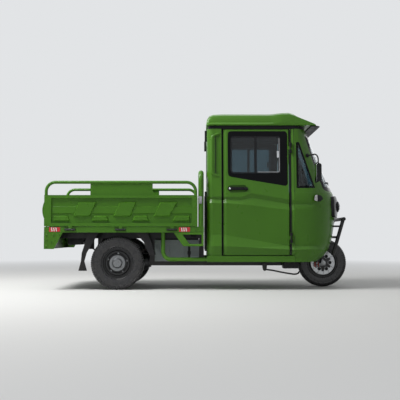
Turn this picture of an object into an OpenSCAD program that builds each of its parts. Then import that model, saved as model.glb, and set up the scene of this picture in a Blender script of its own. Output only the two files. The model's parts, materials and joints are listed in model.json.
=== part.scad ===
// Electric cargo tricycle: closed cab over one steered front wheel, drop-side bed over a driven rear axle.
// Millimetres. +X forward, +Y to the vehicle's left, +Z up. Origin on the ground under the whole's middle.

/* [Wheels] */
// Distance of the front axle ahead of the nose's seam
nose_to_axle = 361; // [350:1:370]
// Distance of the rear axle behind the bed's front end
axle_setback = 876; // [860:1:890]
// Radius of the front tyre at its tread
front_tyre_r = 258; // [252:1:262]
// Width of the front tyre
front_tyre_w = 95; // [86:1:98]
// Radius of a rear tyre at its tread
rear_tyre_r = 268; // [262:1:272]
// Width of a rear tyre
rear_tyre_w = 110; // [100:1:114]
// Distance between the middles of the two rear tyres
rear_track = 900; // [880:1:910]
// Radius of a rim's bead seat
rim_r = 152; // [148:1:156]
// Radius of the rear axle's stubs
stub_r = 17; // [14:1:20]
// Radius of the front wheel's spindle
spindle_r = 10; // [8:1:12]
// Radius of the front brake disc
disc_r = 128; // [118:1:132]
// Thickness of the front brake disc
disc_t = 4; // [3:0.5:5]

/* [Steering] */
// Lean of the steering axis from upright, in degrees
rake = 20; // [18:1:22]
// Distance of the front axle ahead of the steering axis
fork_offset = 24; // [18:1:30]
// Distance between the two fork legs
leg_span = 196; // [190:1:206]
// Radius of a fork leg's slider
slider_r = 23; // [20:1:24]
// Radius of the steering stem
stem_r = 14; // [12:1:16]
// Radius of the handlebar tube
bar_r = 11; // [10:0.5:12.5]
// Half the handlebar's width
bar_half_w = 310; // [280:5:340]

/* [Bed] */
// Length of the bed over headboard and tailgate frame
bed_l = 1608; // [1560:4:1660]
// Width over the two side gates
bed_w = 1100; // [1060:2:1120]
// Height of the top of the bed's frame
bed_z = 635; // [625:1:650]
// Height of the bed's frame
bed_frame_h = 58; // [50:1:64]
// Height of a gate
gate_h = 314; // [290:2:340]
// Thickness of a gate's frame
gate_t = 32; // [28:1:36]
// Thickness of a gate's panel
panel_t = 8; // [6:1:10]
// Height of the side rail above its gate
rail_rise = 146; // [120:2:160]
// Radius of the side rail's tube
rail_r = 16; // [13:0.5:18]
// Radius of the headboard hoop's tube
hoop_r = 28; // [22:1:30]
// Height of the hoop above the bed's frame
hoop_rise = 580; // [540:5:620]
// Bulge of the tailgate's bowed panel
tail_bow = 35; // [28:1:38]

/* [Cab] */
// Gap between the headboard and the cab's back
cab_gap = 30; // [20:1:40]
// Length from the cab's back to the nose's seam
cab_l = 886; // [870:2:900]
// Length of the nose ahead of its seam
nose_l = 496; // [486:1:500]
// Half the cab's greatest width
cab_half_w = 540; // [530:1:545]
// Height of the cab's underside
cab_z = 280; // [275:1:290]
// Height of the cab's shell from underside to roof frame
cab_h = 1356; // [1330:2:1380]
// Height of the sill
sill_h = 61; // [55:1:66]
// Thickness of the cab's walls
skin_t = 25; // [20:1:28]
// Thickness of the window panes
glass_t = 6; // [5:0.5:8]
// Height of the roof's shell
roof_h = 144; // [130:2:150]
// Length of a rear quarter panel
quarter_l = 148; // [140:1:152]
// Width of a hinge post
post_w = 48; // [44:1:52]
// Thickness of a door
door_t = 34; // [30:1:38]

/* [Chassis] */
// Distance between the middles of the frame rails
rail_span = 600; // [580:2:620]
// Width of a frame rail
rail_w = 50; // [44:1:56]
// Height of an upper frame rail
upper_rail_h = 60; // [50:1:66]
// Height of a lower frame rail
lower_rail_h = 42; // [36:1:46]
// Radius of the axle beam
beam_r = 36; // [30:1:40]
// Thickness of one spring leaf
leaf_t = 8; // [6:0.5:9]
// Width of a spring leaf
leaf_w = 50; // [44:1:54]
// Radius of a side guard's tube
guard_r = 20; // [16:1:22]
// Radius of the front bumper's tubes
bumper_r = 19; // [16:1:20]

/* [Fit] */
// Gap between a pin and its bore
pin_gap = 0.3; // [0.2:0.05:0.4]
// Gap round a pane of glass
pane_gap = 0.4; // [0.2:0.05:0.6]
// Gap round a door or gate
door_gap = 8; // [7:0.5:10]
// Gap between a quarter panel and the door's rear edge
rear_gap = 20; // [14:1:22]
// Radius of a door or gate hinge's pin
hinge_pin_r = 4; // [3:0.5:5]
// Radius of a door or gate hinge's knuckle
hinge_r = 8; // [7:0.5:9]

/* [View] */
// Piece to draw

/* [Hidden] */
$fn = 48;
// Length by which a cut passes through what it cuts
over = 1;
// Steps of a curved corner and of the nose's curve
corner_steps = 5;
nose_steps = 11;

// Places along the length
axle_to_cab = cab_l + nose_to_axle;
overall_l = front_tyre_r + axle_to_cab + cab_gap + bed_l + tail_bow;
front_axle_x = overall_l / 2 - front_tyre_r;
cab_x = front_axle_x - axle_to_cab;
nose_x = cab_x + cab_l;
bed_front_x = cab_x - cab_gap;
bed_rear_x = bed_front_x - bed_l;
rear_axle_x = bed_front_x - axle_setback;

// Heights
cab_top_z = cab_z + cab_h;
sill_z = cab_z + sill_h;
belt_share = 0.52;
belt_z = cab_z + belt_share * cab_h;
bed_under_z = bed_z - bed_frame_h;
// Gap under a gate
gate_gap = 5;
gate_z = bed_z + gate_gap;
gate_top_z = gate_z + gate_h;

// Door
door_x0 = cab_x + quarter_l + rear_gap;
door_x1 = nose_x - post_w - door_gap;
door_l = door_x1 - door_x0;
door_z0 = sill_z + door_gap;
door_z1 = cab_top_z - door_gap;
// Depth by which the hinge post lies inside the cab's face
post_inset = 12;

// Creases along the cab's side: share of the half width, then shares of the shell's height at the door's
// rear edge, at the start and end of its step, and at its front edge
crease_shares = [
    [0.967, 0, 0, 0, 0],
    [0.957, 0.045, 0.045, 0.045, 0.045],
    [1, 0.1187, 0.1121, 0.1077, 0.0929],
    [0.957, 0.2043, 0.1814, 0.1667, 0.1187],
    [0.967, 0.3709, 0.3127, 0.2773, 0.1563],
    [0.986, 0.4381, 0.4277, 0.4204, 0.3864],
    [0.946, 0.4676, 0.4631, 0.4794, 0.4307],
    [0.972, 0.486, 0.4838, 0.5103, 0.4639],
    [0.948, 0.6313, 0.6121, 0.6003, 0.5605],
    [0.903, 1, 1, 1, 1]
];
step_shares = [0, 0.27, 0.436, 1];

// Outline of the nose and screen on the middle line: share of the shell's height, share of the nose's length
front_shares = [
    [0, 0.565], [0.045, 0.746], [0.0929, 0.837], [0.1187, 0.871], [0.1563, 0.907], [0.21, 0.94],
    [0.314, 0.972], [0.3864, 0.992], [0.4307, 1], [0.4639, 0.992], [0.52, 0.94], [0.5605, 0.887],
    [0.98, 0.373], [1, 0.349], [1.05, 0.29]
];
// Rows of the nose between its underside and the belt
nose_row_shares = [0, 0.045, 0.0929, 0.1187, 0.1563, 0.21, 0.3, 0.3864, 0.4307, 0.4639, 0.52];
// Rows of the screen's frame between the belt and the roof frame
screen_row_shares = [0.52, 0.5605, 0.7, 0.85, 1];
// Roundness of the nose in plan: an ellipse is 2, more is squarer
nose_round_share = 2.45;

function lerp(a, b, t) = a + (b - a) * t;
function unit(v) = v / norm(v);
// Share along the door's length of a place x
function door_share(x) = (x - door_x0) / door_l;
function crease_z(k, x) = cab_z + cab_h * lookup(door_share(x),
    [for (i = [0 : 3]) [step_shares[i], crease_shares[k][i + 1]]]);
function crease_w(k) = cab_half_w * crease_shares[k][0];
// Half width of the cab at the nose's seam and of its rear panels
function front_w(z) = lookup(z, [for (k = [0 : 9]) [crease_z(k, door_x1), crease_w(k)]]);
function rear_w(z) = lookup(z, [for (k = [0 : 9]) [crease_z(k, door_x0), crease_w(k)]]);
function front_x(z) = nose_x + nose_l * lookup((z - cab_z) / cab_h, front_shares);
// Point of the front shell: t from -1 at the right seam over 0 at the middle to 1 at the left seam
function front_point(t, z, inset) = let (a = 90 * abs(t), p = 2 / nose_round_share)
    [nose_x + (front_x(z) - inset - nose_x) * pow(cos(a), p),
     sign(t) * (front_w(z) - inset) * pow(sin(a), p), z];
// Outline with its corners rounded off over the length d
function rounded(pts, d) = let (n = len(pts)) [for (i = [0 : n - 1])
    let (b = pts[i], u = unit(pts[(i + n - 1) % n] - b), v = unit(pts[(i + 1) % n] - b))
    for (k = [0 : corner_steps]) let (t = k / corner_steps)
        (1 - t) * (1 - t) * (b + d * u) + 2 * t * (1 - t) * b + t * t * (b + d * v)];
// Counter-clockwise outline drawn in by d
function drawn_in(pts, d) = let (n = len(pts)) [for (i = [0 : n - 1])
    let (e = unit(pts[i] - pts[(i + n - 1) % n]), f = unit(pts[(i + 1) % n] - pts[i]),
         p = [-e[1], e[0]], q = [-f[1], f[0]]) pts[i] + d * (p + q) / (1 + p * q)];
function mirrored(pts) = [for (i = [len(pts) - 1 : -1 : 0]) [-pts[i][0], pts[i][1]]];
function rect(x0, z0, x1, z1) = [[x0, z0], [x1, z0], [x1, z1], [x0, z1]];

module rod_x(x0, x1, r) { translate([x0, 0, 0]) rotate([0, 90, 0]) cylinder(h = x1 - x0, r = r); }
module rod_y(y0, y1, r) { translate([0, y1, 0]) rotate([90, 0, 0]) cylinder(h = y1 - y0, r = r); }
module rod(a, b, r) {
    d = b - a;
    translate(a) rotate([0, acos(d[2] / norm(d)), atan2(d[1], d[0])]) cylinder(h = norm(d), r = r);
}
module block(x0, x1, y0, y1, z0, z1) { translate([x0, y0, z0]) cube([x1 - x0, y1 - y0, z1 - z0]); }
// Outline in X and Z made a plate from y0 to y1
module side_plate(pts, y0, y1) {
    translate([0, y1, 0]) rotate([90, 0, 0]) linear_extrude(height = y1 - y0) polygon(pts);
}
// Outline in Y and Z made a plate from x0 to x1
module front_plate(pts, x0, x1) {
    translate([x0, 0, 0]) rotate([90, 0, 90]) linear_extrude(height = x1 - x0) polygon(pts);
}
module top_plate(pts, z0, z1) { translate([0, 0, z0]) linear_extrude(height = z1 - z0) polygon(pts); }
module both_sides() { children(); mirror([0, 1, 0]) children(); }
// Outline of radius and width turned about the wheel's axle, which lies along Y
module turned(pts) { rotate([90, 0, 0]) rotate_extrude($fn = 72) polygon(pts); }
// Quarter bend of a tube in the XZ plane: centre at the origin, from +X to +Z
module bend(bend_r, r) {
    rotate([90, 0, 0]) rotate_extrude(angle = 90) translate([bend_r, 0]) circle(r = r);
}
// Hoop in the XZ plane standing on z = 0, its tube's middle line rising to rise
module hoop(x0, x1, rise, bend_r, r) {
    for (x = [x0, x1]) translate([x, 0, 0]) cylinder(h = rise - bend_r, r = r);
    translate([0, 0, rise]) rod_x(x0 + bend_r, x1 - bend_r, r);
    translate([x1 - bend_r, 0, rise - bend_r]) bend(bend_r, r);
    translate([x0 + bend_r, 0, rise - bend_r]) mirror([1, 0, 0]) bend(bend_r, r);
}
// Wall between an outer and an inner grid of points, both with rows along the first index
module grid_shell(outer, inner) {
    n = len(outer);
    m = len(outer[0]);
    k = n * m;
    function id(i, j) = i * m + j;
    function quad(a, b, c, d) = [[a, b, c], [a, c, d]];
    faces = [
        for (i = [0 : n - 2]) for (j = [0 : m - 2])
            each quad(id(i, j), id(i, j + 1), id(i + 1, j + 1), id(i + 1, j)),
        for (i = [0 : n - 2]) for (j = [0 : m - 2])
            each quad(k + id(i, j), k + id(i + 1, j), k + id(i + 1, j + 1), k + id(i, j + 1)),
        for (j = [0 : m - 2]) each quad(k + id(0, j), k + id(0, j + 1), id(0, j + 1), id(0, j)),
        for (j = [0 : m - 2])
            each quad(id(n - 1, j), id(n - 1, j + 1), k + id(n - 1, j + 1), k + id(n - 1, j)),
        for (i = [0 : n - 2]) each quad(id(i, 0), id(i + 1, 0), k + id(i + 1, 0), k + id(i, 0)),
        for (i = [0 : n - 2])
            each quad(k + id(i, m - 1), k + id(i + 1, m - 1), id(i + 1, m - 1), id(i, m - 1))
    ];
    polyhedron(points = [each [for (r = outer) each r], each [for (r = inner) each r]], faces = faces);
}
// Solid through closed rings of points set one after another along +X, each ring the same right and left
module ring_loft(rings) {
    n = len(rings);
    m = len(rings[0]);
    half = (m - 1) / 2;
    cap = [for (j = [0 : half - 1]) each [[j, j + 1, m - 1 - j], if (j < half - 1) [j + 1, m - 2 - j, m - 1 - j]]];
    faces = [
        for (i = [0 : n - 2]) for (j = [0 : m - 1]) each
            let (a = i * m + j, b = i * m + (j + 1) % m) [[a, b, b + m], [a, b + m, a + m]],
        for (f = cap) [f[2], f[1], f[0]],
        for (f = cap) [for (v = f) (n - 1) * m + v]
    ];
    polyhedron(points = [for (r = rings) each r], faces = faces);
}
// Wall of the front shell over its rows from t0 to t1, from skin_a to skin_b under the outer face
module front_shell(rows, skin_a, skin_b, t0 = -1, t1 = 1) {
    n = ceil(nose_steps * (t1 - t0));
    ts = [for (i = [0 : n]) lerp(t0, t1, i / n)];
    grid_shell([for (t = ts) [for (s = rows) front_point(t, cab_z + s * cab_h, skin_a)]],
        [for (t = ts) [for (s = rows) front_point(t, cab_z + s * cab_h, skin_b)]]);
}
// Wall of the cab's right side over the places xs, between the heights z0 and z1: skin_a may be a list, one
// for each place
module side_shell(xs, skin_a, skin_b, z0, z1) {
    function z(k, x) = min(z1, max(z0, crease_z(k, x)));
    outer = [for (i = [0 : len(xs) - 1]) is_list(skin_a) ? skin_a[i] : skin_a];
    grid_shell([for (i = [0 : len(xs) - 1]) [for (k = [1 : 9]) [xs[i], outer[i] - crease_w(k), z(k, xs[i])]]],
        [for (x = xs) [for (k = [1 : 9]) [x, skin_b - crease_w(k), z(k, x)]]]);
}

// Chassis
rail_y = rail_span / 2;
upper_rail_z = bed_under_z - upper_rail_h;
lower_rail_z = cab_z - lower_rail_h;
// Distance of the rails' rear ends from the bed's rear end
rail_rear_inset = 60;
upper_rail_x0 = bed_rear_x + rail_rear_inset;
// Length of the lower rails behind the cab
lower_rail_tail = 590;
lower_rail_x0 = cab_x - lower_rail_tail;
// Thickness of the bulkhead and its place behind the nose's seam
bulkhead_t = 12;
bulkhead_x = nose_x + skin_t;
lower_rail_x1 = bulkhead_x;

// Width of a cross member
cross_w = 46;
// Reach of the two middle cross members either side of the rear axle
cross_reach = 191;
lower_cross_shares = [0, 0.3, 0.66, 1];
rail_in_y = rail_y - rail_w / 2;
rail_out_y = rail_y + rail_w / 2;
module frame_rails() {
    color([0.03, 0.03, 0.03]) both_sides() {
        block(upper_rail_x0, bed_front_x, rail_in_y, rail_out_y, upper_rail_z, bed_under_z);
        block(lower_rail_x0, lower_rail_x1, rail_in_y, rail_out_y, lower_rail_z, cab_z);
    }
}
module frame_uprights() {
    color([0.03, 0.03, 0.03]) both_sides() for (x = [lower_rail_x0, bed_front_x - rail_w])
        block(x, x + rail_w, rail_in_y, rail_out_y, cab_z, upper_rail_z);
}
module frame_cross_members() {
    half = rail_in_y;
    color([0.03, 0.03, 0.03]) {
        for (x = [upper_rail_x0, rear_axle_x - cross_reach, rear_axle_x + cross_reach - cross_w,
            bed_front_x - cross_w]) block(x, x + cross_w, -half, half, upper_rail_z, bed_under_z);
        for (s = lower_cross_shares) let (x = lerp(lower_rail_x0, lower_rail_x1 - cross_w, s))
            block(x, x + cross_w, -half, half, lower_rail_z, cab_z);
    }
}

// Steering geometry: the steering axis runs along the local Z
axle_local_x = fork_offset * cos(rake);
axle_local_z = -fork_offset * sin(rake);
module on_steering_axis() {
    translate([front_axle_x - fork_offset, 0, front_tyre_r]) rotate([0, -rake, 0]) children();
}
// Height of the yoke above the axle along the fork
yoke_rise = 308;
// Thickness of the yoke
yoke_h = 32;
// Half the yoke's length
yoke_half_l = 34;
yoke_z = axle_local_z + yoke_rise;
// Gap between the yoke and the head tube
head_gap = 50;
head_z = yoke_z + yoke_h + head_gap;
// Length of the head tube
head_l = 180;
// Wall of the head tube
head_wall = 12;
// Half width and height of the bracket that carries the head tube
head_arm_half_w = 42;
head_arm_h = 90;
// Height of the bracket above the head tube's lower end
head_arm_lift = 42;
module steering_head() {
    r = stem_r + pin_gap + head_wall;
    head_x = front_axle_x - fork_offset - (head_z + head_l / 2) * sin(rake);
    low = front_tyre_r + head_z * cos(rake) + head_arm_lift;
    color([0.03, 0.03, 0.03]) difference() {
        union() {
            on_steering_axis() translate([0, 0, head_z]) cylinder(h = head_l, r = r);
            block(bulkhead_x + bulkhead_t, head_x, -head_arm_half_w, head_arm_half_w, low, low + head_arm_h);
        }
        on_steering_axis() translate([0, 0, head_z - over])
            cylinder(h = head_l + 2 * over, r = stem_r + pin_gap);
    }
}

// Rear running gear
wheel_y = rear_track / 2;
// Distance of the axle beam's ends from the wheel's middle
beam_end_inset = 64;
beam_half_l = wheel_y - beam_end_inset;
// Length of a stub beyond the wheel's middle
stub_out = 26;
// Radius and half width of the differential's bulge
diff_r = 105;
diff_half_w = 130;
module rear_axle() {
    color([0.05, 0.05, 0.055]) translate([rear_axle_x, 0, rear_tyre_r]) {
        turned([[0, -beam_half_l], [beam_r, -beam_half_l], [beam_r, -diff_half_w], [diff_r, -diff_half_w / 2],
            [diff_r, diff_half_w / 2], [beam_r, diff_half_w], [beam_r, beam_half_l], [0, beam_half_l]]);
        rod_y(-wheel_y - stub_out, wheel_y + stub_out, stub_r);
    }
}
// Drive motor: radius, length and height above the axle
motor_r = 86;
motor_l = 178;
// Radius of the motor's end cover
motor_cap_r = 60;
motor_cap_l = 24;
module drive_motor() {
    color([0.25, 0.26, 0.27]) translate([rear_axle_x + diff_r, 0, rear_tyre_r]) {
        rod_x(0, motor_l, motor_r);
        rod_x(motor_l, motor_l + motor_cap_l, motor_cap_r);
    }
}
// Leaf spring: half its length, its rise, and the shares of the leaves' lengths
spring_half_l = 290;
spring_rise = 72;
leaf_shares = [1, 0.84, 0.66, 0.46, 0.28];
spring_r = (spring_half_l * spring_half_l + spring_rise * spring_rise) / (2 * spring_rise);
spring_a = asin(spring_half_l / spring_r);
leaf_n = len(leaf_shares);
// Height of the spring's seat on the axle beam
seat_block_h = 6;
spring_low_z = rear_tyre_r + beam_r + seat_block_h;
spring_mid_z = spring_low_z + leaf_n * leaf_t;
eye_r = 15;
// Lap of one leaf into the next
leaf_lap = 1;
eye_z = spring_mid_z + spring_rise;
module leaf_springs() {
    color([0.06, 0.06, 0.065]) both_sides() translate([rear_axle_x, rail_y, 0]) {
        difference() {
            union() {
                for (i = [0 : leaf_n - 1]) translate([0, leaf_w / 2, spring_mid_z + spring_r])
                    rotate([90, 0, 0]) rotate([0, 0, -90 - spring_a * leaf_shares[i]]) leaf(i);
                for (s = [-1, 1]) translate([s * spring_half_l, 0, eye_z])
                    rod_y(-leaf_w / 2, leaf_w / 2, eye_r);
                block(-leaf_w / 2, leaf_w / 2, -leaf_w / 2, leaf_w / 2, rear_tyre_r,
                    spring_low_z + leaf_t / 2);
            }
            for (s = [-1, 1]) translate([s * spring_half_l, 0, eye_z])
                rod_y(-leaf_w / 2 - over, leaf_w / 2 + over, hinge_pin_r + pin_gap);
            translate([0, 0, rear_tyre_r]) rod_y(-leaf_w, leaf_w, beam_r + pin_gap);
        }
    }
}
module leaf(i) {
    rotate_extrude(angle = 2 * spring_a * leaf_shares[i], $fn = 96)
        translate([spring_r + i * leaf_t - leaf_lap, 0]) square([leaf_t + leaf_lap, leaf_w]);
}
// Spring hangers: plate thickness, width and lap beside the rail
hanger_t = 8;
hanger_w = 44;
hanger_lap = 30;
module spring_hangers() {
    color([0.03, 0.03, 0.03]) both_sides() for (s = [-1, 1])
        translate([rear_axle_x + s * spring_half_l, rail_y, 0]) {
            for (m = [0, 1]) mirror([0, m, 0]) block(-hanger_w / 2, hanger_w / 2, leaf_w / 2 + pin_gap,
                leaf_w / 2 + pin_gap + hanger_t, eye_z - eye_r, upper_rail_z + hanger_lap);
            translate([0, 0, eye_z]) rod_y(-leaf_w / 2 - pin_gap, leaf_w / 2 + pin_gap, hinge_pin_r);
        }
}
// Battery box: gap to the frame, height, and its seams' places and width
battery_gap = 0.3;
battery_h = 222;
seam_shares = [0.33, 0.67];
seam_w = 6;
seam_d = 4;
lid_h = 34;
lid_out = 7;
module battery_box() {
    x0 = lower_rail_x0 + rail_w + battery_gap;
    x1 = bed_front_x - rail_w - battery_gap;
    out = rail_y + rail_w / 2;
    color([0.05, 0.065, 0.07]) difference() {
        block(x0, x1, -out, out, cab_z, cab_z + battery_h);
        for (s = seam_shares) let (x = lerp(x0, x1, s)) both_sides()
            block(x, x + seam_w, out - seam_d, out + over, cab_z - over, cab_z + battery_h + over);
    }
    color([0.05, 0.065, 0.07])
        block(x0, x1, -out - lid_out, out + lid_out, cab_z + battery_h - lid_h, cab_z + battery_h);
}

// Bed
bed_half_w = bed_w / 2;
// Step of the bed frame's side inside the gates' outer face
bed_inset = 5;
floor_half_w = bed_half_w - bed_inset;
// Thickness of the deck's plate over the frame
deck_t = 3;
// Thickness of the bed's floor, width of its bearers and of its edge
floor_t = 22;
bearer_w = 50;
bed_edge_w = 45;
pocket_n = 4;
// Depth of the pockets behind the gates' hinges
hinge_pocket_d = 6;
// Margin of the hoop's tube and length of the headboard along the bed
hoop_margin = 2;
head_w = 2 * hoop_r + 2 * hoop_margin;
gate_x0 = bed_rear_x;
gate_x1 = bed_front_x - head_w - door_gap;
module bed_floor() {
    pitch = (bed_l - bearer_w) / pocket_n;
    color([0.05, 0.15, 0.02]) {
        difference() {
            block(bed_rear_x, bed_front_x, -floor_half_w, floor_half_w, bed_under_z, bed_z);
            for (i = [0 : pocket_n - 1]) let (x = bed_rear_x + bearer_w + i * pitch) {
                block(x, x + pitch - bearer_w, -rail_y + bearer_w / 2, rail_y - bearer_w / 2,
                    bed_under_z - over, bed_z - floor_t);
                both_sides() block(x, x + pitch - bearer_w, rail_y + bearer_w / 2, floor_half_w - bed_edge_w,
                    bed_under_z - over, bed_z - floor_t);
            }
            both_sides() for (s = gate_hinge_shares)
                let (x = lerp(gate_x0, gate_x1, s), d = hinge_pocket_l / 2)
                block(x - d, x + d, floor_half_w - hinge_pocket_d, floor_half_w + over,
                    gate_hinge_z - hinge_r - hinge_leaf_t, bed_z + over);
        }
        block(bed_rear_x + gate_t + door_gap, gate_x1, -bed_half_w + gate_t + door_gap,
            bed_half_w - gate_t - door_gap, bed_z, bed_z + deck_t);
    }
}
hoop_x = bed_front_x - hoop_margin - hoop_r;
hoop_y = floor_half_w - hoop_r;
// Radius of the hoop's bends and thickness of the headboard's plate
hoop_bend_r = 90;
head_plate_t = 20;
// Height of the bar between the headboard's plate and the hoop's top, as a share
mid_bar_share = 0.5;
// Size of the headboard's pressed ribs
rib_h = 40;
rib_d = 10;
rib_shares = [0.22, 0.5, 0.78];
module headboard() {
    half = hoop_y - hoop_r;
    color([0.05, 0.15, 0.02]) {
        block(hoop_x - head_plate_t / 2, hoop_x + head_plate_t / 2, -half, half, bed_z, gate_top_z);
        for (s = rib_shares) let (z = lerp(bed_z, gate_top_z, s))
            block(hoop_x - head_plate_t / 2 - rib_d, hoop_x + head_plate_t / 2, -half + rib_h, half - rib_h,
                z - rib_h / 2, z + rib_h / 2);
    }
}
module headboard_hoop() {
    rise = hoop_rise - hoop_r;
    bar_z = lerp(gate_top_z - bed_z, rise, mid_bar_share);
    color([0.05, 0.15, 0.02]) translate([hoop_x, 0, bed_z]) {
        rotate([0, 0, 90]) hoop(-hoop_y, hoop_y, rise, hoop_bend_r, hoop_r);
        translate([0, 0, bar_z]) rod_y(-hoop_y, hoop_y, rail_r);
    }
}
// Gates: frame members
gate_low_w = 33;
gate_top_w = 30;
gate_rear_w = 70;
gate_front_w = 56;
// Depth of the panel behind the frame's face and of its pressings
panel_inset = 20;
press_d = 15;
press_slope = 11;
// Pressings, each as shares of the recess: ends of the lower edge, ends of the upper edge, low and high z
press_shares = [
    [0.152, 0.277, 0.192, 0.326, 0.25, 0.86], [0.436, 0.566, 0.486, 0.610, 0.25, 0.86],
    [0.725, 0.844, 0.775, 0.905, 0.25, 0.86]
];
toe_shares = [
    [0.015, 0.138, 0.015, 0.12, 0.06, 0.3], [0.282, 0.416, 0.302, 0.398, 0.06, 0.3],
    [0.572, 0.702, 0.592, 0.684, 0.06, 0.3], [0.86, 0.99, 0.88, 0.99, 0.06, 0.3]
];
// Raised band along the panel, with the depth and slope of its flanks
band_shares = [-0.005, 1.005, -0.005, 1.005, 0.36, 0.68];
band_d = 6;
band_slope = 7;
gate_l = gate_x1 - gate_x0;
// Hinges of the gates: shares of the length, height above the bed's underside, length of a knuckle
gate_hinge_shares = [0.171, 0.5, 0.836];
gate_hinge_z = bed_under_z + bed_frame_h / 2;
hinge_leaf_t = 4;
gate_hinge_out = hinge_r + hinge_leaf_t;
knuckle_l = 34;
// Length of a hinge's pocket in the bed's edge
hinge_pocket_l = 118;
gate_hinge_y = bed_half_w + gate_hinge_out - bed_inset;
// Frustum standing on the panel: outline in X and Z from y0 outwards to y1, its flanks drawn in by slope
module pressing(row, x0, x1, z0, z1, y0, y1, slope) {
    function pt(x, z) = [lerp(x0, x1, x), lerp(z0, z1, z)];
    low = [pt(row[0], row[4]), pt(row[1], row[4]), pt(row[3], row[5]), pt(row[2], row[5])];
    top = drawn_in(low, slope);
    polyhedron(points = [for (p = low) [p[0], y0, p[1]], for (p = top) [p[0], y1, p[1]]],
        faces = [[0, 1, 2, 3], [7, 6, 5, 4], [0, 4, 5, 1], [1, 5, 6, 2], [2, 6, 7, 3], [3, 7, 4, 0]]);
}
// Knuckle along X from x0 to x1 with its leaf: up to the gate, or in to the pocket's back
module gate_leaf(x0, x1, up) {
    in = gate_hinge_out + hinge_pocket_d;
    rod_x(x0, x1, hinge_r);
    if (up) {
        block(x0, x1, hinge_r - hinge_leaf_t / 2, gate_hinge_out, 0, gate_z - gate_hinge_z + gate_low_w / 2);
        block(x0, x1, 0, hinge_r, 0, hinge_r);
    } else block(x0, x1, 0, in, -hinge_r, 0);
}
module gate() {
    y0 = -bed_half_w;
    y1 = y0 + gate_t;
    x0 = gate_x0 + gate_rear_w;
    x1 = gate_x1 - gate_front_w;
    z0 = gate_z + gate_low_w;
    z1 = gate_top_z - gate_top_w;
    difference() {
        block(gate_x0, gate_x1, y0, y1, gate_z, gate_top_z);
        block(x0, x1, y0 - over, y0 + panel_inset, z0, z1);
        block(x0, x1, y0 + panel_inset + panel_t, y1 + over, z0, z1);
    }
    seat_y = y0 + panel_inset + panel_t / 2;
    for (row = concat(press_shares, toe_shares))
        pressing(row, x0, x1, z0, z1, seat_y, y0 + panel_inset - press_d, press_slope);
    pressing(band_shares, x0, x1, z0, z1, seat_y, y0 + panel_inset - band_d, band_slope);
}
// Side rail and its plate
rail_bend_r = 92;
plate_share = [0.3, 0.708];
plate_t = 5;
module gate_rail() {
    y = -bed_half_w + gate_t / 2;
    rise = rail_rise - rail_r;
    translate([0, y, gate_top_z]) {
        hoop(gate_x0 + rail_r, gate_x1 - rail_r, rise, rail_bend_r, rail_r);
        block(lerp(gate_x0, gate_x1, plate_share[0]), lerp(gate_x0, gate_x1, plate_share[1]),
            -plate_t / 2, plate_t / 2, 0, rise);
    }
}
module side_gate() {
    color([0.05, 0.15, 0.02]) {
        gate();
        gate_rail();
        difference() {
            for (s = gate_hinge_shares) translate([lerp(gate_x0, gate_x1, s), -gate_hinge_y, gate_hinge_z])
                gate_leaf(-knuckle_l / 2, knuckle_l / 2, true);
            translate([0, -gate_hinge_y, gate_hinge_z]) rod_x(gate_x0, gate_x1, hinge_pin_r + pin_gap);
        }
    }
}
module gate_right() { side_gate(); }
module gate_left() { mirror([0, 1, 0]) side_gate(); }
// Tailgate
tail_half_w = bed_half_w - gate_t - door_gap;
tail_hinge_out = 16;
tail_hinge_x = bed_rear_x - tail_hinge_out;
tail_hinge_shares = [0.15, 0.85];
// Ends of the bow's height as shares of the gate's, and its margin at the sides
bow_shares = [0.16, 0.88];
bow_margin = 30;
tail_panel_t = 24;
module tailgate() {
    z0 = lerp(gate_z, gate_top_z, bow_shares[0]);
    z1 = lerp(gate_z, gate_top_z, bow_shares[1]);
    half = (z1 - z0) / 2;
    bow_r = (half * half + tail_bow * tail_bow) / (2 * tail_bow);
    color([0.05, 0.15, 0.02]) {
        difference() {
            block(bed_rear_x, bed_rear_x + gate_t, -tail_half_w, tail_half_w, gate_z, gate_top_z);
            block(bed_rear_x + tail_panel_t, bed_rear_x + gate_t + over, -tail_half_w + gate_top_w,
                tail_half_w - gate_top_w, gate_z + gate_top_w, gate_top_z - gate_top_w);
        }
        intersection() {
            translate([bed_rear_x - tail_bow + bow_r, 0, (z0 + z1) / 2])
                rod_y(-tail_half_w + bow_margin, tail_half_w - bow_margin, bow_r);
            block(bed_rear_x - tail_bow - over, bed_rear_x + tail_panel_t / 2, -bed_half_w, bed_half_w,
                z0, z1);
        }
        difference() {
            for (s = tail_hinge_shares) tail_knuckle(lerp(-tail_half_w, tail_half_w, s), true);
            translate([tail_hinge_x, 0, gate_hinge_z]) rod_y(-bed_half_w, bed_half_w, hinge_pin_r + pin_gap);
        }
    }
}
module tail_knuckle(y, up) {
    translate([tail_hinge_x, y, gate_hinge_z]) {
        rod_y(-knuckle_l / 2, knuckle_l / 2, hinge_r);
        if (up) {
            block(-hinge_leaf_t, hinge_leaf_t, -knuckle_l / 2, knuckle_l / 2, hinge_pin_r,
                gate_z + gate_low_w / 2 - gate_hinge_z);
            block(-hinge_leaf_t, tail_hinge_out, -knuckle_l / 2, knuckle_l / 2, gate_z - gate_hinge_z,
                gate_z + gate_low_w / 2 - gate_hinge_z);
        } else block(0, tail_hinge_out, -knuckle_l / 2, knuckle_l / 2, -hinge_r, -hinge_r / 2);
    }
}
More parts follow.
